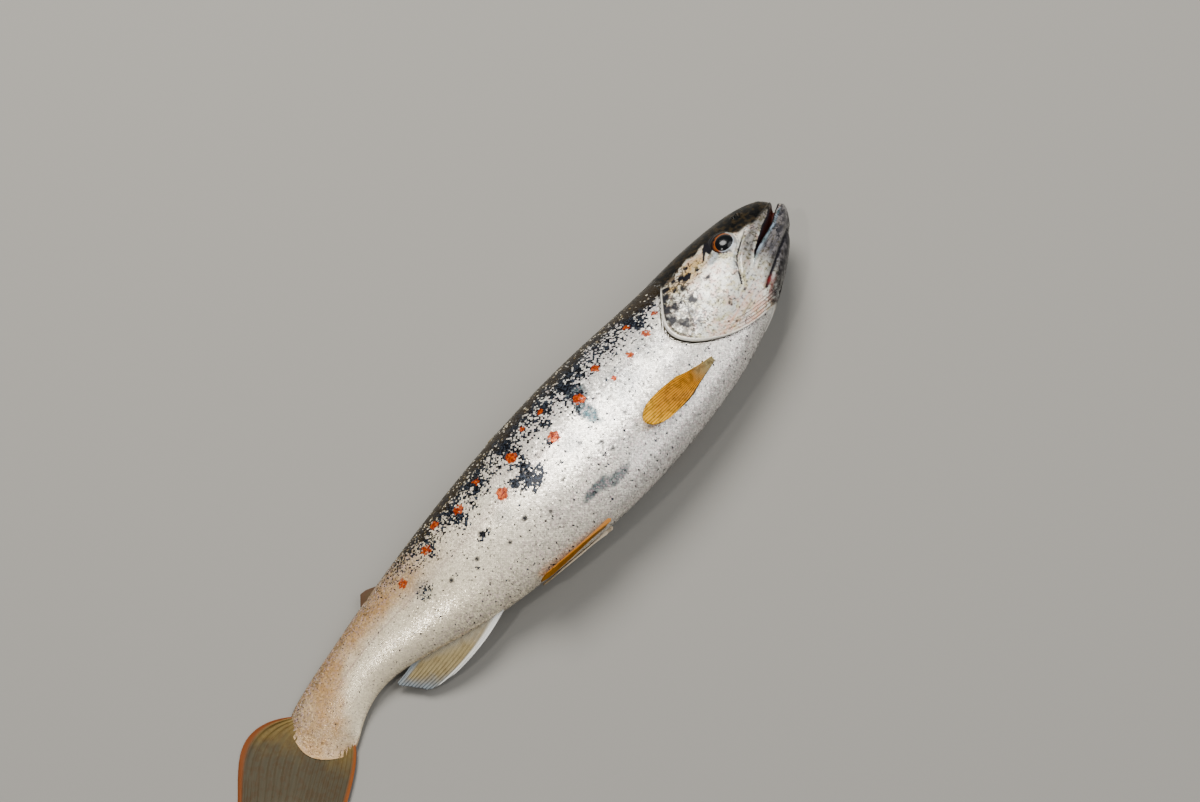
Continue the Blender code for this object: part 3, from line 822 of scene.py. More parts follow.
def mixColour(tree, factor, first, second):
    node = addNode(tree, "Mix", data_type="RGBA")
    for index, value in ((0, factor), (6, first), (7, second)):
        feed(tree, node.inputs[index], value)
    return node.outputs[2]


def layered(tree, colour, *layers):    # each layer is a share and the colour that it brings
    for share, tone in layers:
        colour = mixColour(tree, share, colour, tone)
    return colour


def noise(tree, vector, scale, detail=3.0, rough=0.55):
    node = addNode(tree, "TexNoise")
    tree.links.new(vector, node.inputs["Vector"])
    node.inputs["Scale"].default_value = scale
    node.inputs["Detail"].default_value = detail
    node.inputs["Roughness"].default_value = rough
    return node.outputs["Fac"]


def cells(tree, vector, scale):        # three random numbers for each cell
    node = addNode(tree, "TexVoronoi")
    tree.links.new(vector, node.inputs["Vector"])
    node.inputs["Scale"].default_value = scale
    grain = addNode(tree, "SeparateColor")
    tree.links.new(node.outputs["Color"], grain.inputs[0])
    return grain.outputs


def addBump(tree, shader, height, strength, distance):
    node = addNode(tree, "Bump")
    node.inputs["Strength"].default_value = strength
    node.inputs["Distance"].default_value = distance
    tree.links.new(height, node.inputs["Height"])
    tree.links.new(node.outputs["Normal"], shader.inputs["Normal"])


paint = {
    "flank": linear(244, 240, 230),
    "flankShade": linear(220, 217, 214),
    "belly": linear(222, 218, 210),
    "warm": linear(178, 134, 76),
    "cream": linear(238, 222, 184),
    "back": linear(16, 14, 11),
    "backOlive": linear(54, 43, 24),
    "steel": linear(43, 72, 78),
    "navy": linear(13, 15, 21),
    "slate": linear(48, 54, 64),
    # pale scales on the back, partly painted glints
    "flakeDull": linear(132, 116, 82),
    "flakeGlint": linear(236, 229, 210),
    "line": linear(132, 94, 100),
    # pink of the painted sparkle on the scales
    "pinkSparkle": linear(208, 172, 176),
    "red": linear(130, 32, 0),
    "orange": linear(182, 76, 0),
    "black": linear(12, 12, 15),
    "gold": linear(190, 148, 70),
    "cheek": linear(226, 223, 206),
    "pearl": linear(196, 197, 188),
    "rim": linear(238, 230, 212),
    "steelPale": linear(134, 152, 172),
    "violet": linear(20, 19, 24),
    "olive": linear(64, 56, 34),
    "crown": linear(44, 35, 20),
    "crownDark": linear(9, 9, 8),
    "pink": linear(206, 152, 124),
    "blood": linear(96, 8, 8),
    "mouth": linear(72, 34, 26),
    # painted shade inside the gill slit
    "slit": linear(66, 60, 44),
    "jaw": linear(102, 97, 96),
    "jawDark": linear(36, 34, 40),
    "mottleGreen": linear(172, 160, 104),
    "mottlePink": linear(206, 162, 144),
}


def bodyColour(tree):
    # the colours of the body from the markings that skin and scales both carry
    place = attribute(tree, "fish").outputs["Vector"]
    shade, marks, spots = (parts(tree, name) for name in ("shade", "marks", "spots"))
    broad, fine = noise(tree, place, 160.0), noise(tree, place, 900.0)
    flank = mixColour(tree, ramp(tree, broad, 0.35, 0.7), paint["flank"], paint["flankShade"])
    back = mixColour(tree, ramp(tree, fine, 0.45, 0.75), paint["back"], paint["backOlive"])
    colour = layered(
        tree, flank,
        (shade[1], paint["belly"]),
        (ramp(tree, addSplit(tree, place)[0], 0.080, 0.160, 0.10, 0.85), paint["cream"]),
        (times(tree, shade[2], ramp(tree, broad, 0.3, 0.65, 0.72, 1.0)), paint["warm"]),
        (times(tree, marks[1], ramp(tree, fine, 0.30, 0.62, 0.78, 1.0)), paint["steel"]),
        (times(tree, spots[2], 0.45), paint["line"]),
        (times(tree, shade[0], ramp(tree, fine, 0.2, 0.5, 0.6, 1.0)), back))
    return colour, place, shade, marks, spots, fine


def redSpots(tree, mark, fine, place):
    ragged = ramp(tree, plus(tree, mark, stray(tree, fine, 1.6)), 0.38, 0.60)
    share = times(tree, ragged, ramp(tree, mark, 0.05, 0.25, 0.0, 0.95))
    grain = ramp(tree, noise(tree, place, 1400.0), 0.44, 0.58)
    return share, mixColour(tree, grain, paint["red"], paint["orange"])


def headColour(tree, place):           # the head's colour and the share of it that is dark
    face, tint, extra = (parts(tree, name) for name in ("face", "tint", "extra"))
    broad, fine = noise(tree, place, 190.0), noise(tree, place, 620.0, 4.0)
    grit = noise(tree, place, 1500.0, 3.0)
    drawn = addNode(tree, "Mapping")
    drawn.inputs["Scale"].default_value = (0.10, 1.0, 1.0)
    tree.links.new(place, drawn.inputs["Vector"])
    streaks = noise(tree, drawn.outputs[0], 860.0, 3.0)
    cheek = mixColour(tree, ramp(tree, broad, 0.35, 0.70), paint["cheek"], paint["pearl"])
    mottle = mixColour(tree, ramp(tree, noise(tree, place, 330.0, 2.0, 0.5), 0.42, 0.58),
                       paint["mottleGreen"], paint["mottlePink"])
    jaw = mixColour(tree, ramp(tree, streaks, 0.40, 0.62), paint["jaw"], paint["jawDark"])
    blue = mixColour(tree, ramp(tree, streaks, 0.35, 0.65), paint["steelPale"], paint["steel"])
    # dark flecks, closest where their share is high
    share = plus(tree, plus(tree, grit, times(tree, extra[1], 0.16)), stray(tree, fine, 0.5))
    fleck = mixColour(tree, ramp(tree, broad, 0.4, 0.6), paint["olive"], paint["navy"])
    # dark marks, and the painted shade under the head
    dark = times(tree, ramp(tree, plus(tree, face[2], stray(tree, fine, 0.7)), 0.15, 0.75),
                 ramp(tree, face[2], 0.0, 0.12))
    crown = mixColour(tree, ramp(tree, fine, 0.44, 0.66), paint["crownDark"], paint["crown"])
    colour = layered(
        tree, cheek,
        (ramp(tree, fine, 0.42, 0.60, 0.0, 0.75), mottle),
        (ramp(tree, grit, 0.50, 0.66, 0.0, 0.70), paint["jaw"]),
        (extra[2], jaw),
        (times(tree, tint[0], ramp(tree, streaks, 0.40, 0.64, 0.15, 0.80)), paint["pink"]),
        (times(tree, tint[2], 0.85), blue),
        (times(tree, face[1], ramp(tree, broad, 0.30, 0.55)), paint["gold"]),
        (ramp(tree, share, 0.60, 0.69, 0.0, 0.85), fleck),
        (dark, paint["violet"]),
        (face[0], crown),
        (times(tree, tint[1], 0.9), paint["rim"]),
        (extra[0], paint["blood"]))
    return colour, larger(tree, face[0], dark)


def dullBack(tree, shader, share, coat):    # dark and coloured places are less glossy
    tree.links.new(ramp(tree, share, 0.0, 1.0, coat, 0.03), shader.inputs["Coat Weight"])
    tree.links.new(ramp(tree, share, 0.0, 1.0, 0.45, 0.12), shader.inputs["Specular IOR Level"])


def skinMaterial():
    material, tree, shader = newMaterial("wetSkin", roughness=0.34, metallic=0.15)
    shader.inputs["Coat Roughness"].default_value = 0.10
    colour, place, shade, marks, spots, fine = bodyColour(tree)
    faceColour, faceDark = headColour(tree, place)
    colour = layered(
        tree, colour,
        redSpots(tree, marks[0], fine, place),
        (spots[1], faceColour),
        # painted shade in the gill slit under the cover's edge
        (attribute(tree, "wall").outputs["Fac"], paint["slit"]),
        (attribute(tree, "mouth").outputs["Fac"], paint["mouth"]))
    tree.links.new(colour, shader.inputs["Base Color"])
    dullBack(tree, shader, larger(tree, shade[0], times(tree, faceDark, spots[1])), coat=0.35)
    wet = noise(tree, place, 420.0)
    tree.links.new(ramp(tree, wet, 0.3, 0.7, 0.22, 0.42), shader.inputs["Roughness"])
    addBump(tree, shader, noise(tree, place, 1300.0, 4.0), 0.35, 0.0002)
    return material


def makeSkin():
    mesh = gridMesh("skin", skinColumns, 2 * skinStyle["halfRows"], placeSkin)
    skin = addPiece("skin", mesh, skinMaterial())
    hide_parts("head", "lower_jaw", "gill_cover_right", "gill_cover_left", "trunk", "tail")
    print("skin", len(mesh.vertices), "points")
    return skin


makeSkin()


# Scales: one small lens of 16 triangles, set in slanting rows over the skin

scaleStyle = {
    "around": 124,                     # scales in one ring
    "first": 0.036,                    # place of the foremost ring
    "segments": 8,
    "lengthShare": 1.62,               # scale length by its width
    "widthShare": 1.16,                # scale width by its place in the ring
    "thick": 0.032 * mm,
    "lift": 0.02 * mm,
    "slope": math.radians(4.6),
    "tilt": math.radians(3.4),         # uneven lie that makes the flank glitter
    "patch": 0.003,                    # size of a scale on the unwrap
    "lengths": ("Front", "Middle", "Rear"),    # pieces of one flank's coat, equal in scales
    "seed": 7,
}


def scaleShape():
    bm = bmesh.new()
    bmesh.ops.create_uvsphere(bm, u_segments=scaleStyle["segments"], v_segments=2, radius=0.5)
    co = np.array([vert.co for vert in bm.verts])
    faces = [[vert.index for vert in face.verts] for face in bm.faces]
    bm.free()
    x, y, z = co.T
    y = y * (1 + 0.25 * x)                             # broader at its free end
    x = np.where(np.abs(z) > 0.1, 0.10, x + 0.14)
    return np.stack([x, y, z * 2], 1), np.array(faces)


def scaleRows():
    # places of all scales: s, angle on the right flank, width, side
    style = scaleStyle
    found = []
    station, ring = style["first"], 0
    while station < skinStyle["end"]:
        v, u = sectionPoint(station, np.linspace(0, 2 * math.pi, 181))
        girth = np.hypot(np.diff(v), np.diff(u)).sum()
        width = girth / style["around"]
        share = (np.arange(style["around"] // 2) + (0.25 if ring % 2 else 0.75)) / (style["around"] / 2)
        t = arcAngles(np.full_like(share, station), share)
        for side in (1, -1):
            found.append(np.stack([np.full_like(t, station), t, np.full_like(t, width),
                                   np.full_like(t, side)], 1))
        station += width * 0.50
        ring += 1
    rows = np.concatenate(found)
    s, t = rows[:, 0], rows[:, 1]
    start = gillEdge(t) + (0.05 * gillOpening(t) + 0.4 * (1 - gillOpening(t))) * mm
    keep = (s > start) & (s < tailArc(t) - 0.6 * mm)
    return rows[keep]


def placeScales(rows, shape, rng):
    style = scaleStyle
    count, points = len(rows), len(shape)
    s, t, width, side = rows.T
    s = s + rng.uniform(-0.06, 0.06, count) * width
    t = t + rng.uniform(-0.004, 0.004, count)
    signed = np.where(side > 0, t, math.pi - t)
    v, u = sectionPoint(s, t)
    bodyEnd = fish["length"] - skinStyle["tailEnd"]
    over = np.clip((s - bodyEnd) / (tailArc(t) - bodyEnd), 0, 1)
    v, u = thinTail(v, u, over)
    u = u * side
    base = bend(s, v, u, floor=-1.0)
    normal = surfaceNormal(s, signed)
    rear = surface(s + 0.3 * mm, signed) - surface(s - 0.3 * mm, signed)
    rear /= np.linalg.norm(rear, axis=1)[:, None]
    across = np.cross(normal, rear)
    sink = np.interp((s - gillEdge(t)) / mm, [0.0, 0.4, 0.9, 1.5, 2.3], [1.02, 0.80, 0.46, 0.20, 0])
    sink = sink * mm * gillOpening(t)
    base = base - normal * (fish["coatDepth"] + sink)[:, None] * (1 - 0.8 * over[:, None])
    pitch = style["slope"] + rng.normal(0, 0.3, count) * style["tilt"]
    bank = rng.normal(0, 0.75, count) * style["tilt"]
    long = width * style["lengthShare"]
    wide = width * style["widthShare"]
    x = shape[None, :, 0] * long[:, None]
    y = shape[None, :, 1] * wide[:, None]
    z = shape[None, :, 2] * style["thick"] + x * np.tan(pitch)[:, None] + y * np.tan(bank)[:, None]
    z = z + style["lift"]
    placed = (base[:, None, :] + x[..., None] * rear[:, None, :] + y[..., None] * across[:, None, :]
              + z[..., None] * normal[:, None, :])
    placed[..., 2] = np.maximum(placed[..., 2], 0.02 * mm)
    # markings are read at every point of a scale, so that a spot's edge isn't stepped
    turn = surface(s, signed + 0.002) - surface(s, signed)
    rate = 0.002 * np.sign((turn * across).sum(1)) * side / np.linalg.norm(turn, axis=1)
    pointS = (s[:, None] + x).ravel()
    pointT = np.clip(t[:, None] + y * rate[:, None], -math.pi / 2, math.pi / 2).ravel()
    pointV, pointU = sectionPoint(pointS, pointT)
    pointSide = np.repeat(side, points)
    marks = bodyMarks(pointS, pointV, pointU * pointSide, pointT, pointSide)
    chance = rng.random(count)
    marks["plate"] = np.stack([np.tile(shape[:, 0], count), np.tile(shape[:, 1], count),
                               np.repeat(chance, points)], 1)
    b = np.where(side > 0, 0.5 * (math.pi / 2 - t) / math.pi, 1 - 0.5 * (math.pi / 2 - t) / math.pi)
    root = unwrap(s, b)
    uv = root[:, None, :] + shape[None, :, :2] * style["patch"]
    return placed.reshape(-1, 3), marks, uv.reshape(-1, 2)


def joinCopies(name, shape, faces, placed, marks, uv):
    copies = len(placed) // len(shape)
    corners = (faces[None] + (np.arange(copies) * len(shape))[:, None, None]).reshape(-1, faces.shape[1])
    mesh = bpy.data.meshes.new(name)
    mesh.from_pydata(placed, [], corners)
    for key, values in marks.items():
        addAttribute(mesh, key, values)
    cornerUv(mesh, uv)
    return mesh


def scaleMaterial():
    material, tree, shader = newMaterial("silverScale", roughness=0.27, metallic=0.35)
    shader.inputs["Coat Roughness"].default_value = 0.10
    colour, place, shade, marks, spots, fine = bodyColour(tree)
    plate = parts(tree, "plate")                       # across, along and the scale's own chance
    local = addNode(tree, "TexCoord").outputs["Object"]
    grain = cells(tree, local, 2300.0)
    # painted sparkle: random lighter, darker and pink specks for the glitter of the silver layer, least
    # along the middle of the flank
    middle = calc(tree, "ABSOLUTE", plus(tree, addSplit(tree, place)[1], 0.003))
    glint = ramp(tree, middle, 0.005, 0.013, 0.35, 1.0)
    paintedSparkle = times(tree, ramp(tree, grain[2], 0.0, 1.0, -0.36, 0.22), glint)
    pinkSparkle = times(tree, ramp(tree, grain[0], 0.5, 1.0, 0.0, 0.50), glint)
    colour = mixColour(tree, pinkSparkle, colour, paint["pinkSparkle"])
    tone = addNode(tree, "HueSaturation")
    feed(tree, tone.inputs["Value"], plus(tree, paintedSparkle, 1.0))
    feed(tree, tone.inputs["Color"], colour)
    rim = ramp(tree, squareSum(tree, plate[0], plate[1]), 0.40, 0.56)
    # some scales on the back are pale gold or white: silver scales, and partly painted glints
    glintFlake = mixColour(tree, ramp(tree, grain[1], 0.45, 0.85), paint["flakeDull"], paint["flakeGlint"])
    # a scale is dark where its chance is under the share there
    dark = mixColour(tree, ramp(tree, grain[1], 0.25, 0.9), paint["black"], paint["slate"])
    dark = mixColour(tree, times(tree, shade[0], 0.7), dark, paint["backOlive"])
    crowd = times(tree, marks[2], plus(tree, stray(tree, noise(tree, place, 340.0), 1.3), 1.0))
    pick = plus(tree, minus(tree, crowd, plate[2]), stray(tree, grain[0], 0.22))
    picked = ramp(tree, pick, -0.03, 0.03)
    share, red = redSpots(tree, marks[0], fine, place)
    share = times(tree, share, ramp(tree, plate[2], 0.88, 0.91, 1.0, 0.50))
    colour = layered(
        tree, tone.outputs[0],
        (times(tree, rim, 0.18), paint["steel"]),
        # painted glints, partly silver scales, on the back
        (times(tree, ramp(tree, plate[2], 0.81, 0.83), shade[0]), glintFlake),
        (picked, dark),
        (share, red),
        (spots[0], paint["black"]))
    tree.links.new(colour, shader.inputs["Base Color"])
    matt = larger(tree, larger(tree, shade[0], picked), larger(tree, share, marks[1]))
    dullBack(tree, shader, matt, coat=0.40)
    tree.links.new(ramp(tree, grain[1], 0.0, 1.0, 0.18, 0.42), shader.inputs["Roughness"])
    addBump(tree, shader, noise(tree, local, 2600.0), 0.2, 0.0001)
    return material


def makeScales():
    rng = np.random.default_rng(scaleStyle["seed"])
    shape, faces = scaleShape()
    rows = scaleRows()
    material = scaleMaterial()
    total = 0
    lengths = scaleStyle["lengths"]
    shares = np.linspace(0, 1, len(lengths) + 1)
    cuts = np.quantile(rows[:, 0], shares) + mm * shares
    for side, hand in ((1, "Right"), (-1, "Left")):
        for first, last, part in zip(cuts, cuts[1:], lengths):
            chosen = rows[(rows[:, 3] == side) & (rows[:, 0] >= first) & (rows[:, 0] < last)]
            name = "scales" + hand + part
            mesh = joinCopies(name, shape, faces, *placeScales(chosen, shape, rng))
            piece = addPiece(name, mesh, material)
            mesh.set_sharp_from_angle(angle=math.radians(40))
            triangles = len(mesh.loops) - 2 * len(mesh.polygons)
            total += triangles
            print(name, triangles, "triangles")
    print("scales", len(rows), "with", total, "triangles")


makeScales()


# Eyes

def pupilPlace(x, y):                  # x and y in the pupil's own half sizes
    return [(value - middle) / half
            for value, middle, half in zip((x, y), eyeStyle["pupilPlace"], eyeStyle["pupil"])]


def eyeMesh(side):
    centre, snoutward, backward, outward = eyeFrame(side)
    radius, depth = eyeStyle["radius"], eyeStyle["depth"]
    bm = bmesh.new()
    bmesh.ops.create_uvsphere(bm, u_segments=72, v_segments=48, radius=1.0)
    co = np.array([vert.co for vert in bm.verts])
    x, y = co[:, 0] * radius / mm, co[:, 1] * radius / mm
    ring = np.hypot(*pupilPlace(x, y))
    front = co[:, 2] > 0
    dip = (-0.16 * bell(ring - 1.12, 0.22) + 0.10 * smooth((1.0 - ring) / 0.5)) * front * mm
    local = (centre + snoutward * (co[:, :1] * radius) + backward * (co[:, 1:2] * radius)
             + outward * (co[:, 2:] * depth + dip[:, None]))
    for vert, point in zip(bm.verts, bend(*local.T, floor=-1.0)):
        vert.co = point
    faceOutward(bm)
    mesh = bpy.data.meshes.new("eye")
    bm.to_mesh(mesh)
    bm.free()
    addAttribute(mesh, "iris", np.stack([x, y, np.where(front, 1.0, 0.0)], 1))
    return mesh


def eyeMaterial():
    material, tree, shader = newMaterial("wetEye", roughness=0.18)
    shader.inputs["Specular IOR Level"].default_value = 0.28
    place = attribute(tree, "iris").outputs["Vector"]
    axes = parts(tree, "iris")
    ring = squareSum(tree, *(calc(tree, "DIVIDE", minus(tree, axis, middle), half) for axis, middle, half
                             in zip(axes, eyeStyle["pupilPlace"], eyeStyle["pupil"])))
    grain, fleck = noise(tree, place, 1.6, 4.0), noise(tree, place, 5.0, 3.0)
    # dark behind and above, silver in front and below, copper round the pupil
    lean = plus(tree, times(tree, axes[0], 0.16), times(tree, axes[1], -0.24))
    lean = plus(tree, lean, stray(tree, grain, 1.6))
    iris = mixColour(tree, ramp(tree, lean, 0.05, 0.75), *eyeStyle["irisTones"])
    copper = mixColour(tree, ramp(tree, fleck, 0.35, 0.65), *eyeStyle["copperTones"])
    near = times(tree, ramp(tree, ring, 1.36, 1.10), ramp(tree, grain, 0.30, 0.55))
    rim = times(tree, ramp(tree, ring, 1.14, 1.08), ramp(tree, ring, 1.0, 1.04))
    rimTone = mixColour(tree, ramp(tree, axes[1], -2.6, -0.6), *eyeStyle["rimTones"])
    colour = layered(
        tree, iris,
        (times(tree, near, ramp(tree, axes[1], -0.9, 1.2, 0.15, 1.0)), copper),
        (times(tree, rim, 0.85), rimTone),
        (ramp(tree, ring, 1.04, 0.98), eyeStyle["pupilTone"]))
    tree.links.new(colour, shader.inputs["Base Color"])
    tree.links.new(ramp(tree, ring, 1.0, 1.1, 0.0, 0.45), shader.inputs["Metallic"])
    return material


def makeEyes():
    material = eyeMaterial()
    for side, hand in ((1, "right"), (-1, "left")):
        eye = addPiece("eyeball_" + hand, eyeMesh(side), material)
        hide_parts("eye_" + hand)
    print("eyes")


makeEyes()


# Fins: a fan of rays; p runs from the first ray to the last and q from root to margin

def fan(p, q, root, angles, length, spread, lean=(0, 0, 0), closing=0.0):
    first, last = np.array(root[0]), np.array(root[1])
    start = first + (last - first) * p[..., None]
    low, high = (math.radians(angle) for angle in angles)
    angle = (low + (high - low) * p) * (1 - closing * q)
    spread = np.array(spread) / np.linalg.norm(spread)
    step = np.cos(angle)[..., None] * np.array([1.0, 0, 0]) + np.sin(angle)[..., None] * spread
    return start + (step + np.array(lean)) * (length * q)[..., None]


def tailFan(p, q):
    outer, across = np.abs(2 * p - 1), 1 - 2 * p
    length = 0.0280 + 0.0100 * outer ** 1.5 - 0.0045 * smooth((outer - 0.80) / 0.20)
    flare = np.where(across > 0, 0.0165, 0.0030)       # the back's lobe spreads at once
    drawnIn = np.where(across > 0, 0.0115, 0.0)        # and then runs straight back
    v = across * (0.0094 + flare * (1 - (1 - q) ** 6) - drawnIn * q)
    return np.stack([0.2065 + 0.0010 * p + length * q, v, 0 * v], -1)


def dorsalFan(p, q):
    root = ((0.0930, 0.0205, 0.0), (0.1210, 0.0195, 0.0))
    return fan(p, q, root, (12, 6), 0.0215 - 0.0100 * p, (0, 1, 0), (0, 0, -0.11))


def adiposeFan(p, q):
    root = ((0.1660, 0.0110, 0.0), (0.1710, 0.0100, 0.0))
    return fan(p, q, root, (40, 16), 0.0088 - 0.0030 * p, (0, 1, 0), closing=0.3)


def analFan(p, q):
    root = ((0.1460, -0.0182, 0.0), (0.1745, -0.0105, 0.0))
    length = 0.0318 - 0.0210 * p - 0.0030 * bell(p, 0.12)
    return fan(p, q, root, (18, 15), length, (0, -1, 0), (0, 0, -0.12), closing=0.75)


def pectoralFan(side):
    def place(p, q):
        clear = 0.0010 * (1 - q) ** 2 * side           # keeps the root in sight over the scales
        p = 0.40 + (p - 0.40) * (0.34 + 0.66 * np.clip(q / 0.6, 0, 1) ** 0.8)    # narrow at the root
        low = 0.0178 if side > 0 else 0.0160
        root = ((0.0575, -low, side * 0.0060), (0.0575, 0.0030 - low, side * 0.0086))
        lean = (0, -0.04, 0.20) if side > 0 else (0, -0.03, -0.23)
        length = 0.0205 + 0.0090 * np.clip(1 - (2 * p - 1) ** 2, 0, 1) ** 0.75
        points = fan(p, q, root, (7, -12), length, (0, -1, side * -0.45), lean, closing=0.35)
        points[..., 2] += clear
        return points
    return place


def pelvicFan(side):
    def place(p, q):
        if side > 0:
            root = ((0.1105, -0.0247, 0.0030), (0.1130, -0.0240, 0.0012))
            spread, lean = (0, -0.12, 0.99), (0, 0.10, 0.01)
        else:
            root = ((0.1105, -0.0226, -0.0058), (0.1130, -0.0233, -0.0040))
            spread, lean = (0, 0.42, -0.90), (0, 0.12, 0.02)
        length = 0.0165 + 0.0080 * np.clip(1 - (1.6 * p - 0.5) ** 2, 0, 1) ** 0.75
        return fan(p, q, root, (7, -9), length, spread, lean, closing=0.3)
    return place


finStyle = {
    # half thickness of membrane and ray, millimetres, and how deep the web folds between rays
    "membrane": 0.07, "ray": 0.17, "leading": 0.20, "pleat": 0.10, "columns": 48,
    "rootSwell": 0.30, "adipose": (0.10, 0.55),
    "blotchTone": linear(70, 40, 2),
    # name: surface, rays, colours of root, middle, margin, first edge and last edge, the edges' share,
    # strength of the blotches
    "fins": {
        "tail_fin": (tailFan, 19, (112, 92, 46), (70, 64, 48), (84, 76, 60), (112, 58, 18),
                     (124, 66, 20), 0.055, 0.5),
        "dorsal_fin": (dorsalFan, 12, (70, 62, 40), (92, 82, 54), (120, 106, 74), (52, 46, 32),
                       (92, 82, 54), 0.12, 0.6),
        "adipose_fin": (adiposeFan, 0, (66, 56, 36), (78, 62, 40), (74, 50, 28), (74, 50, 28),
                        (78, 62, 40), 0.25, 0.5),
        "anal_fin": (analFan, 12, (168, 160, 142), (146, 130, 92), (126, 134, 138), (222, 220, 212),
                     (134, 140, 142), 0.15, 0.35),
        **{name: (pectoralFan(side), 13, (166, 152, 108), (180, 118, 0), (218, 158, 0), (60, 42, 4),
                  (200, 152, 30), 0.06, 0.9)
           for name, side in (("pectoral_fin_right", 1), ("pectoral_fin_left", -1))},
        "pelvic_fin_right": (pelvicFan(1), 9, (160, 124, 72), (166, 104, 8), (178, 116, 14),
                             (150, 92, 10), (226, 206, 172), 0.20, 0.4),
        "pelvic_fin_left": (pelvicFan(-1), 9, (200, 180, 150), (214, 176, 120), (220, 192, 150),
                            (228, 208, 178), (228, 208, 178), 0.30, 0.2),
    },
}


def rayRidge(p, q, rays):
    # 1 on a ray, 0 on the web between; each ray forks on its way out
    if not rays:
        return np.zeros_like(p)
    whole = np.abs(np.cos(math.pi * p * rays)) ** 5
    forked = np.abs(np.cos(math.pi * (p * rays * 2 + 0.5))) ** 5
    share = smooth((q - 0.42) / 0.22)
    last = np.abs(np.cos(math.pi * p * rays * 4)) ** 4
    tips = smooth((q - 0.78) / 0.14)
    return (whole * (1 - share) + forked * share) * (1 - tips) + last * tips * 0.8


def finMesh(name, point, rays):
    style = finStyle
    rows = 2 * max(rays * 12, 40)

    def place(a, b):
        turn = 2 * math.pi * b
        p = 0.5 - 0.5 * np.cos(turn)
        hand = np.where(np.sin(turn) >= 0, 1.0, -1.0)
        wall = np.minimum(np.abs(np.sin(turn)) * 4, 1.0) ** 0.5
        q = a ** 0.9
        ridge = rayRidge(p, q, rays)
        reach = q * (1 - 0.035 * (1 - ridge) * smooth((q - 0.8) / 0.2) * (rays > 0))
        reach = reach * (1 - 0.16 * bell(p, 0.045) - 0.10 * bell(p - 1, 0.06))       # rounded corners
        step = 0.004
        inner = np.clip(p, step, 1 - step)
        centre = bend(*point(p, reach).T)
        along = bend(*point(inner, reach + step).T) - bend(*point(inner, reach - step).T)
        across = bend(*point(inner + step, reach).T) - bend(*point(inner - step, reach).T)
        normal = np.cross(along, across)
        normal /= np.maximum(np.linalg.norm(normal, axis=1), 1e-12)[:, None]
        half = style["membrane"] + style["ray"] * ridge * (1 - 0.6 * q)
        half = half + style["leading"] * bell(p, 0.05) * (1 - 0.5 * q)
        half = half + style["rootSwell"] * smooth((0.30 - q) / 0.30)
        if not rays:                                   # the small fatty fin
            least, more = style["adipose"]
            half = least + more * smooth((1 - q) / 0.9) * np.minimum(4 * p * (1 - p) + 0.2, 1)
        half = half * np.sqrt(np.clip((1 - a) / 0.03, 0, 1)) * np.sqrt(np.clip(a / 0.02, 0, 1)) * wall
        pleat = style["pleat"] * (rays > 0) * np.sin(2 * math.pi * p * rays) * smooth(q * 3)
        points = centre + normal * ((half * hand + pleat) * mm)[:, None]
        least = np.where(hand * normal[:, 2] > 0, half * mm * 2, 0) + 0.02 * mm
        points[:, 2] = np.maximum(points[:, 2], least)
        uv = np.stack([0.02 + 0.96 * q, 0.02 + 0.47 * p + np.where(hand > 0, 0.0, 0.49)], 1)
        return points, {"fin": np.stack([p, q, ridge], 1)}, uv

    return gridMesh(name, style["columns"], rows, place)


def finMaterial(name, root, middle, margin, first, last, edge, blotch):
    material, tree, shader = newMaterial(name, roughness=0.46)
    shader.inputs["Specular IOR Level"].default_value = 0.16
    root, middle, margin, first, last = (linear(*tone) for tone in (root, middle, margin, first, last))
    place = addNode(tree, "TexCoord").outputs["Object"]
    axes = parts(tree, "fin")
    broad, fine = noise(tree, place, 220.0), noise(tree, place, 620.0)
    q = plus(tree, axes[1], stray(tree, broad, 0.35))
    colour = layered(tree, root, (ramp(tree, q, 0.0, 0.40), middle), (ramp(tree, q, 0.62, 1.0), margin))
    dark = mixColour(tree, 0.60, colour, finStyle["blotchTone"])
    colour = layered(
        tree, colour,
        (ramp(tree, fine, 0.47, 0.60, 0.0, blotch * 0.85), dark),
        (times(tree, axes[2], 0.30), dark),
        (ramp(tree, axes[0], edge, edge * 0.4), first),
        (ramp(tree, axes[0], 1 - edge, 1 - edge * 0.4), last))
    tree.links.new(colour, shader.inputs["Base Color"])
    addBump(tree, shader, fine, 0.2, 0.0001)
    return material


def makeFins():
    for name, (point, rays, *colours) in finStyle["fins"].items():
        mesh = finMesh("fin_" + name, point, rays)
        fin = addPiece(name + "_rays", mesh, finMaterial(name + "Web", *colours))
        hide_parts(name)
    print("fins")


makeFins()


# Floor, light and camera

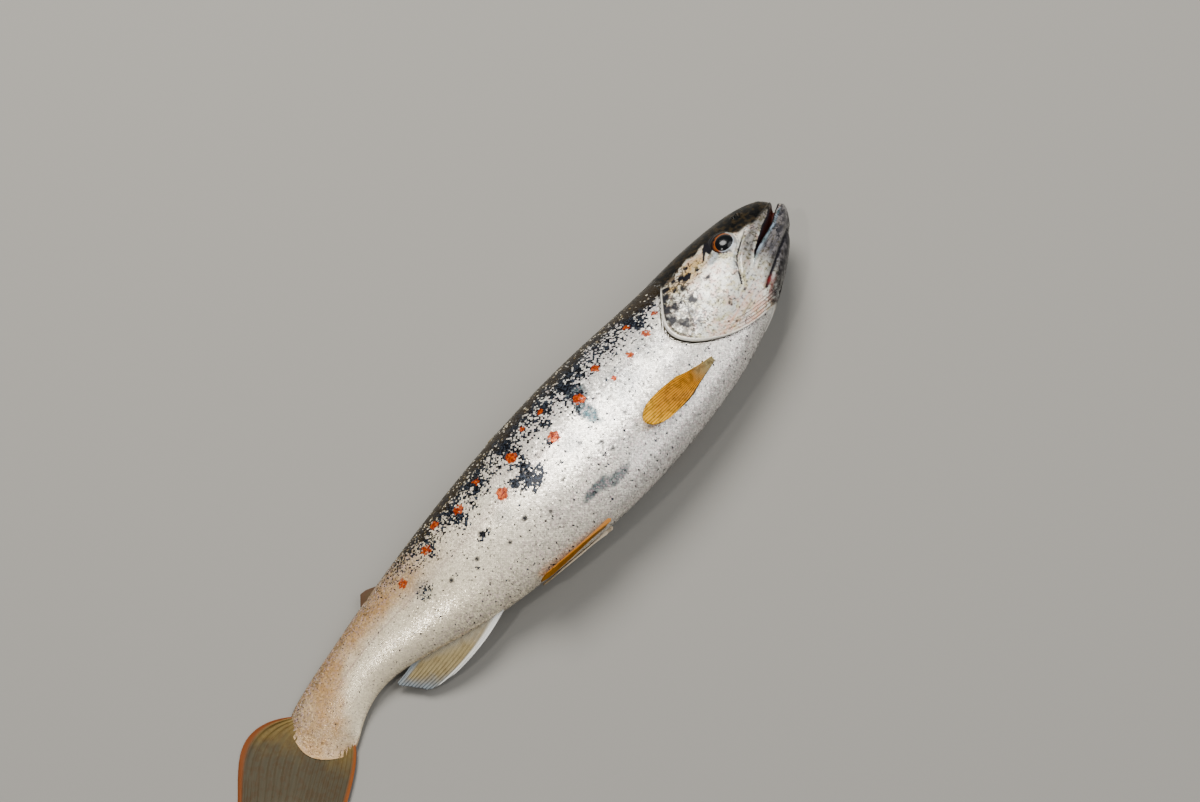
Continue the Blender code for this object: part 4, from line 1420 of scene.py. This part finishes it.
stageStyle = {
    "floor": 1.6, "floorTone": linear(140, 137, 130),
    "sky": (0.80, 0.84, 0.90), "skyStrength": 0.26,
    # name: place, width, power, colour
    "lights": {
        "key": ((0.30, 0.62, 0.95), 0.60, 19.5, (1.0, 0.98, 0.95)),
        "fill": ((0.72, -0.40, 0.85), 1.0, 8.0, (0.97, 0.98, 1.0)),
        "glint": ((-0.5, 0.1, 1.0), 0.08, 2.5, (1.0, 0.98, 0.95)),
    },
    "lit": (0, 0, 0.01),               # where the lights point
    "aim": (0.03715, 0.00848, 0.010),  # and the camera
    "azimuth": -47.13, "elevation": 70.0, "distance": 0.4886, "lens": 50.0,
}


def makeStage():
    bm = bmesh.new()
    bmesh.ops.create_grid(bm, x_segments=2, y_segments=2, size=stageStyle["floor"])
    mesh = bpy.data.meshes.new("floor")
    bm.to_mesh(mesh)
    bm.free()
    floor = bpy.data.objects.new("floor", mesh)
    bpy.context.collection.objects.link(floor)
    material, _, shader = newMaterial("paleFloor", roughness=0.8)
    shader.inputs["Base Color"].default_value = (*stageStyle["floorTone"], 1.0)
    mesh.materials.append(material)


def addAimed(name, data, place, direction):
    aimed = bpy.data.objects.new(name, data)
    bpy.context.collection.objects.link(aimed)
    aimed.location = place
    aimed.rotation_euler = direction.to_track_quat("-Z", "Y").to_euler()
    return aimed


def addLight(name, place, width, power, colour):
    data = bpy.data.lights.new(name, "AREA")
    data.shape = "DISK"
    data.size = width
    data.energy = power
    data.color = colour
    addAimed(name, data, Vector(place), Vector(stageStyle["lit"]) - Vector(place))


def makeLights():
    world = bpy.data.worlds.new("studio")
    bpy.context.scene.world = world
    world.use_nodes = True
    background = world.node_tree.nodes["Background"]
    background.inputs["Color"].default_value = (*stageStyle["sky"], 1.0)
    background.inputs["Strength"].default_value = stageStyle["skyStrength"]
    for name, light in stageStyle["lights"].items():
        addLight(name, *light)


def makeCamera():
    style = stageStyle
    azimuth, elevation = math.radians(style["azimuth"]), math.radians(style["elevation"])
    back = Vector((math.sin(azimuth) * math.cos(elevation), -math.cos(azimuth) * math.cos(elevation),
                   math.sin(elevation)))
    data = bpy.data.cameras.new("camera")
    data.lens = style["lens"]
    data.sensor_width = 36.0
    data.clip_start, data.clip_end = 0.01, 10.0
    place = Vector(style["aim"]) + back * style["distance"]
    bpy.context.scene.camera = addAimed("camera", data, place, -back)


makeStage()
makeLights()
makeCamera()
print("stage, lights and camera")
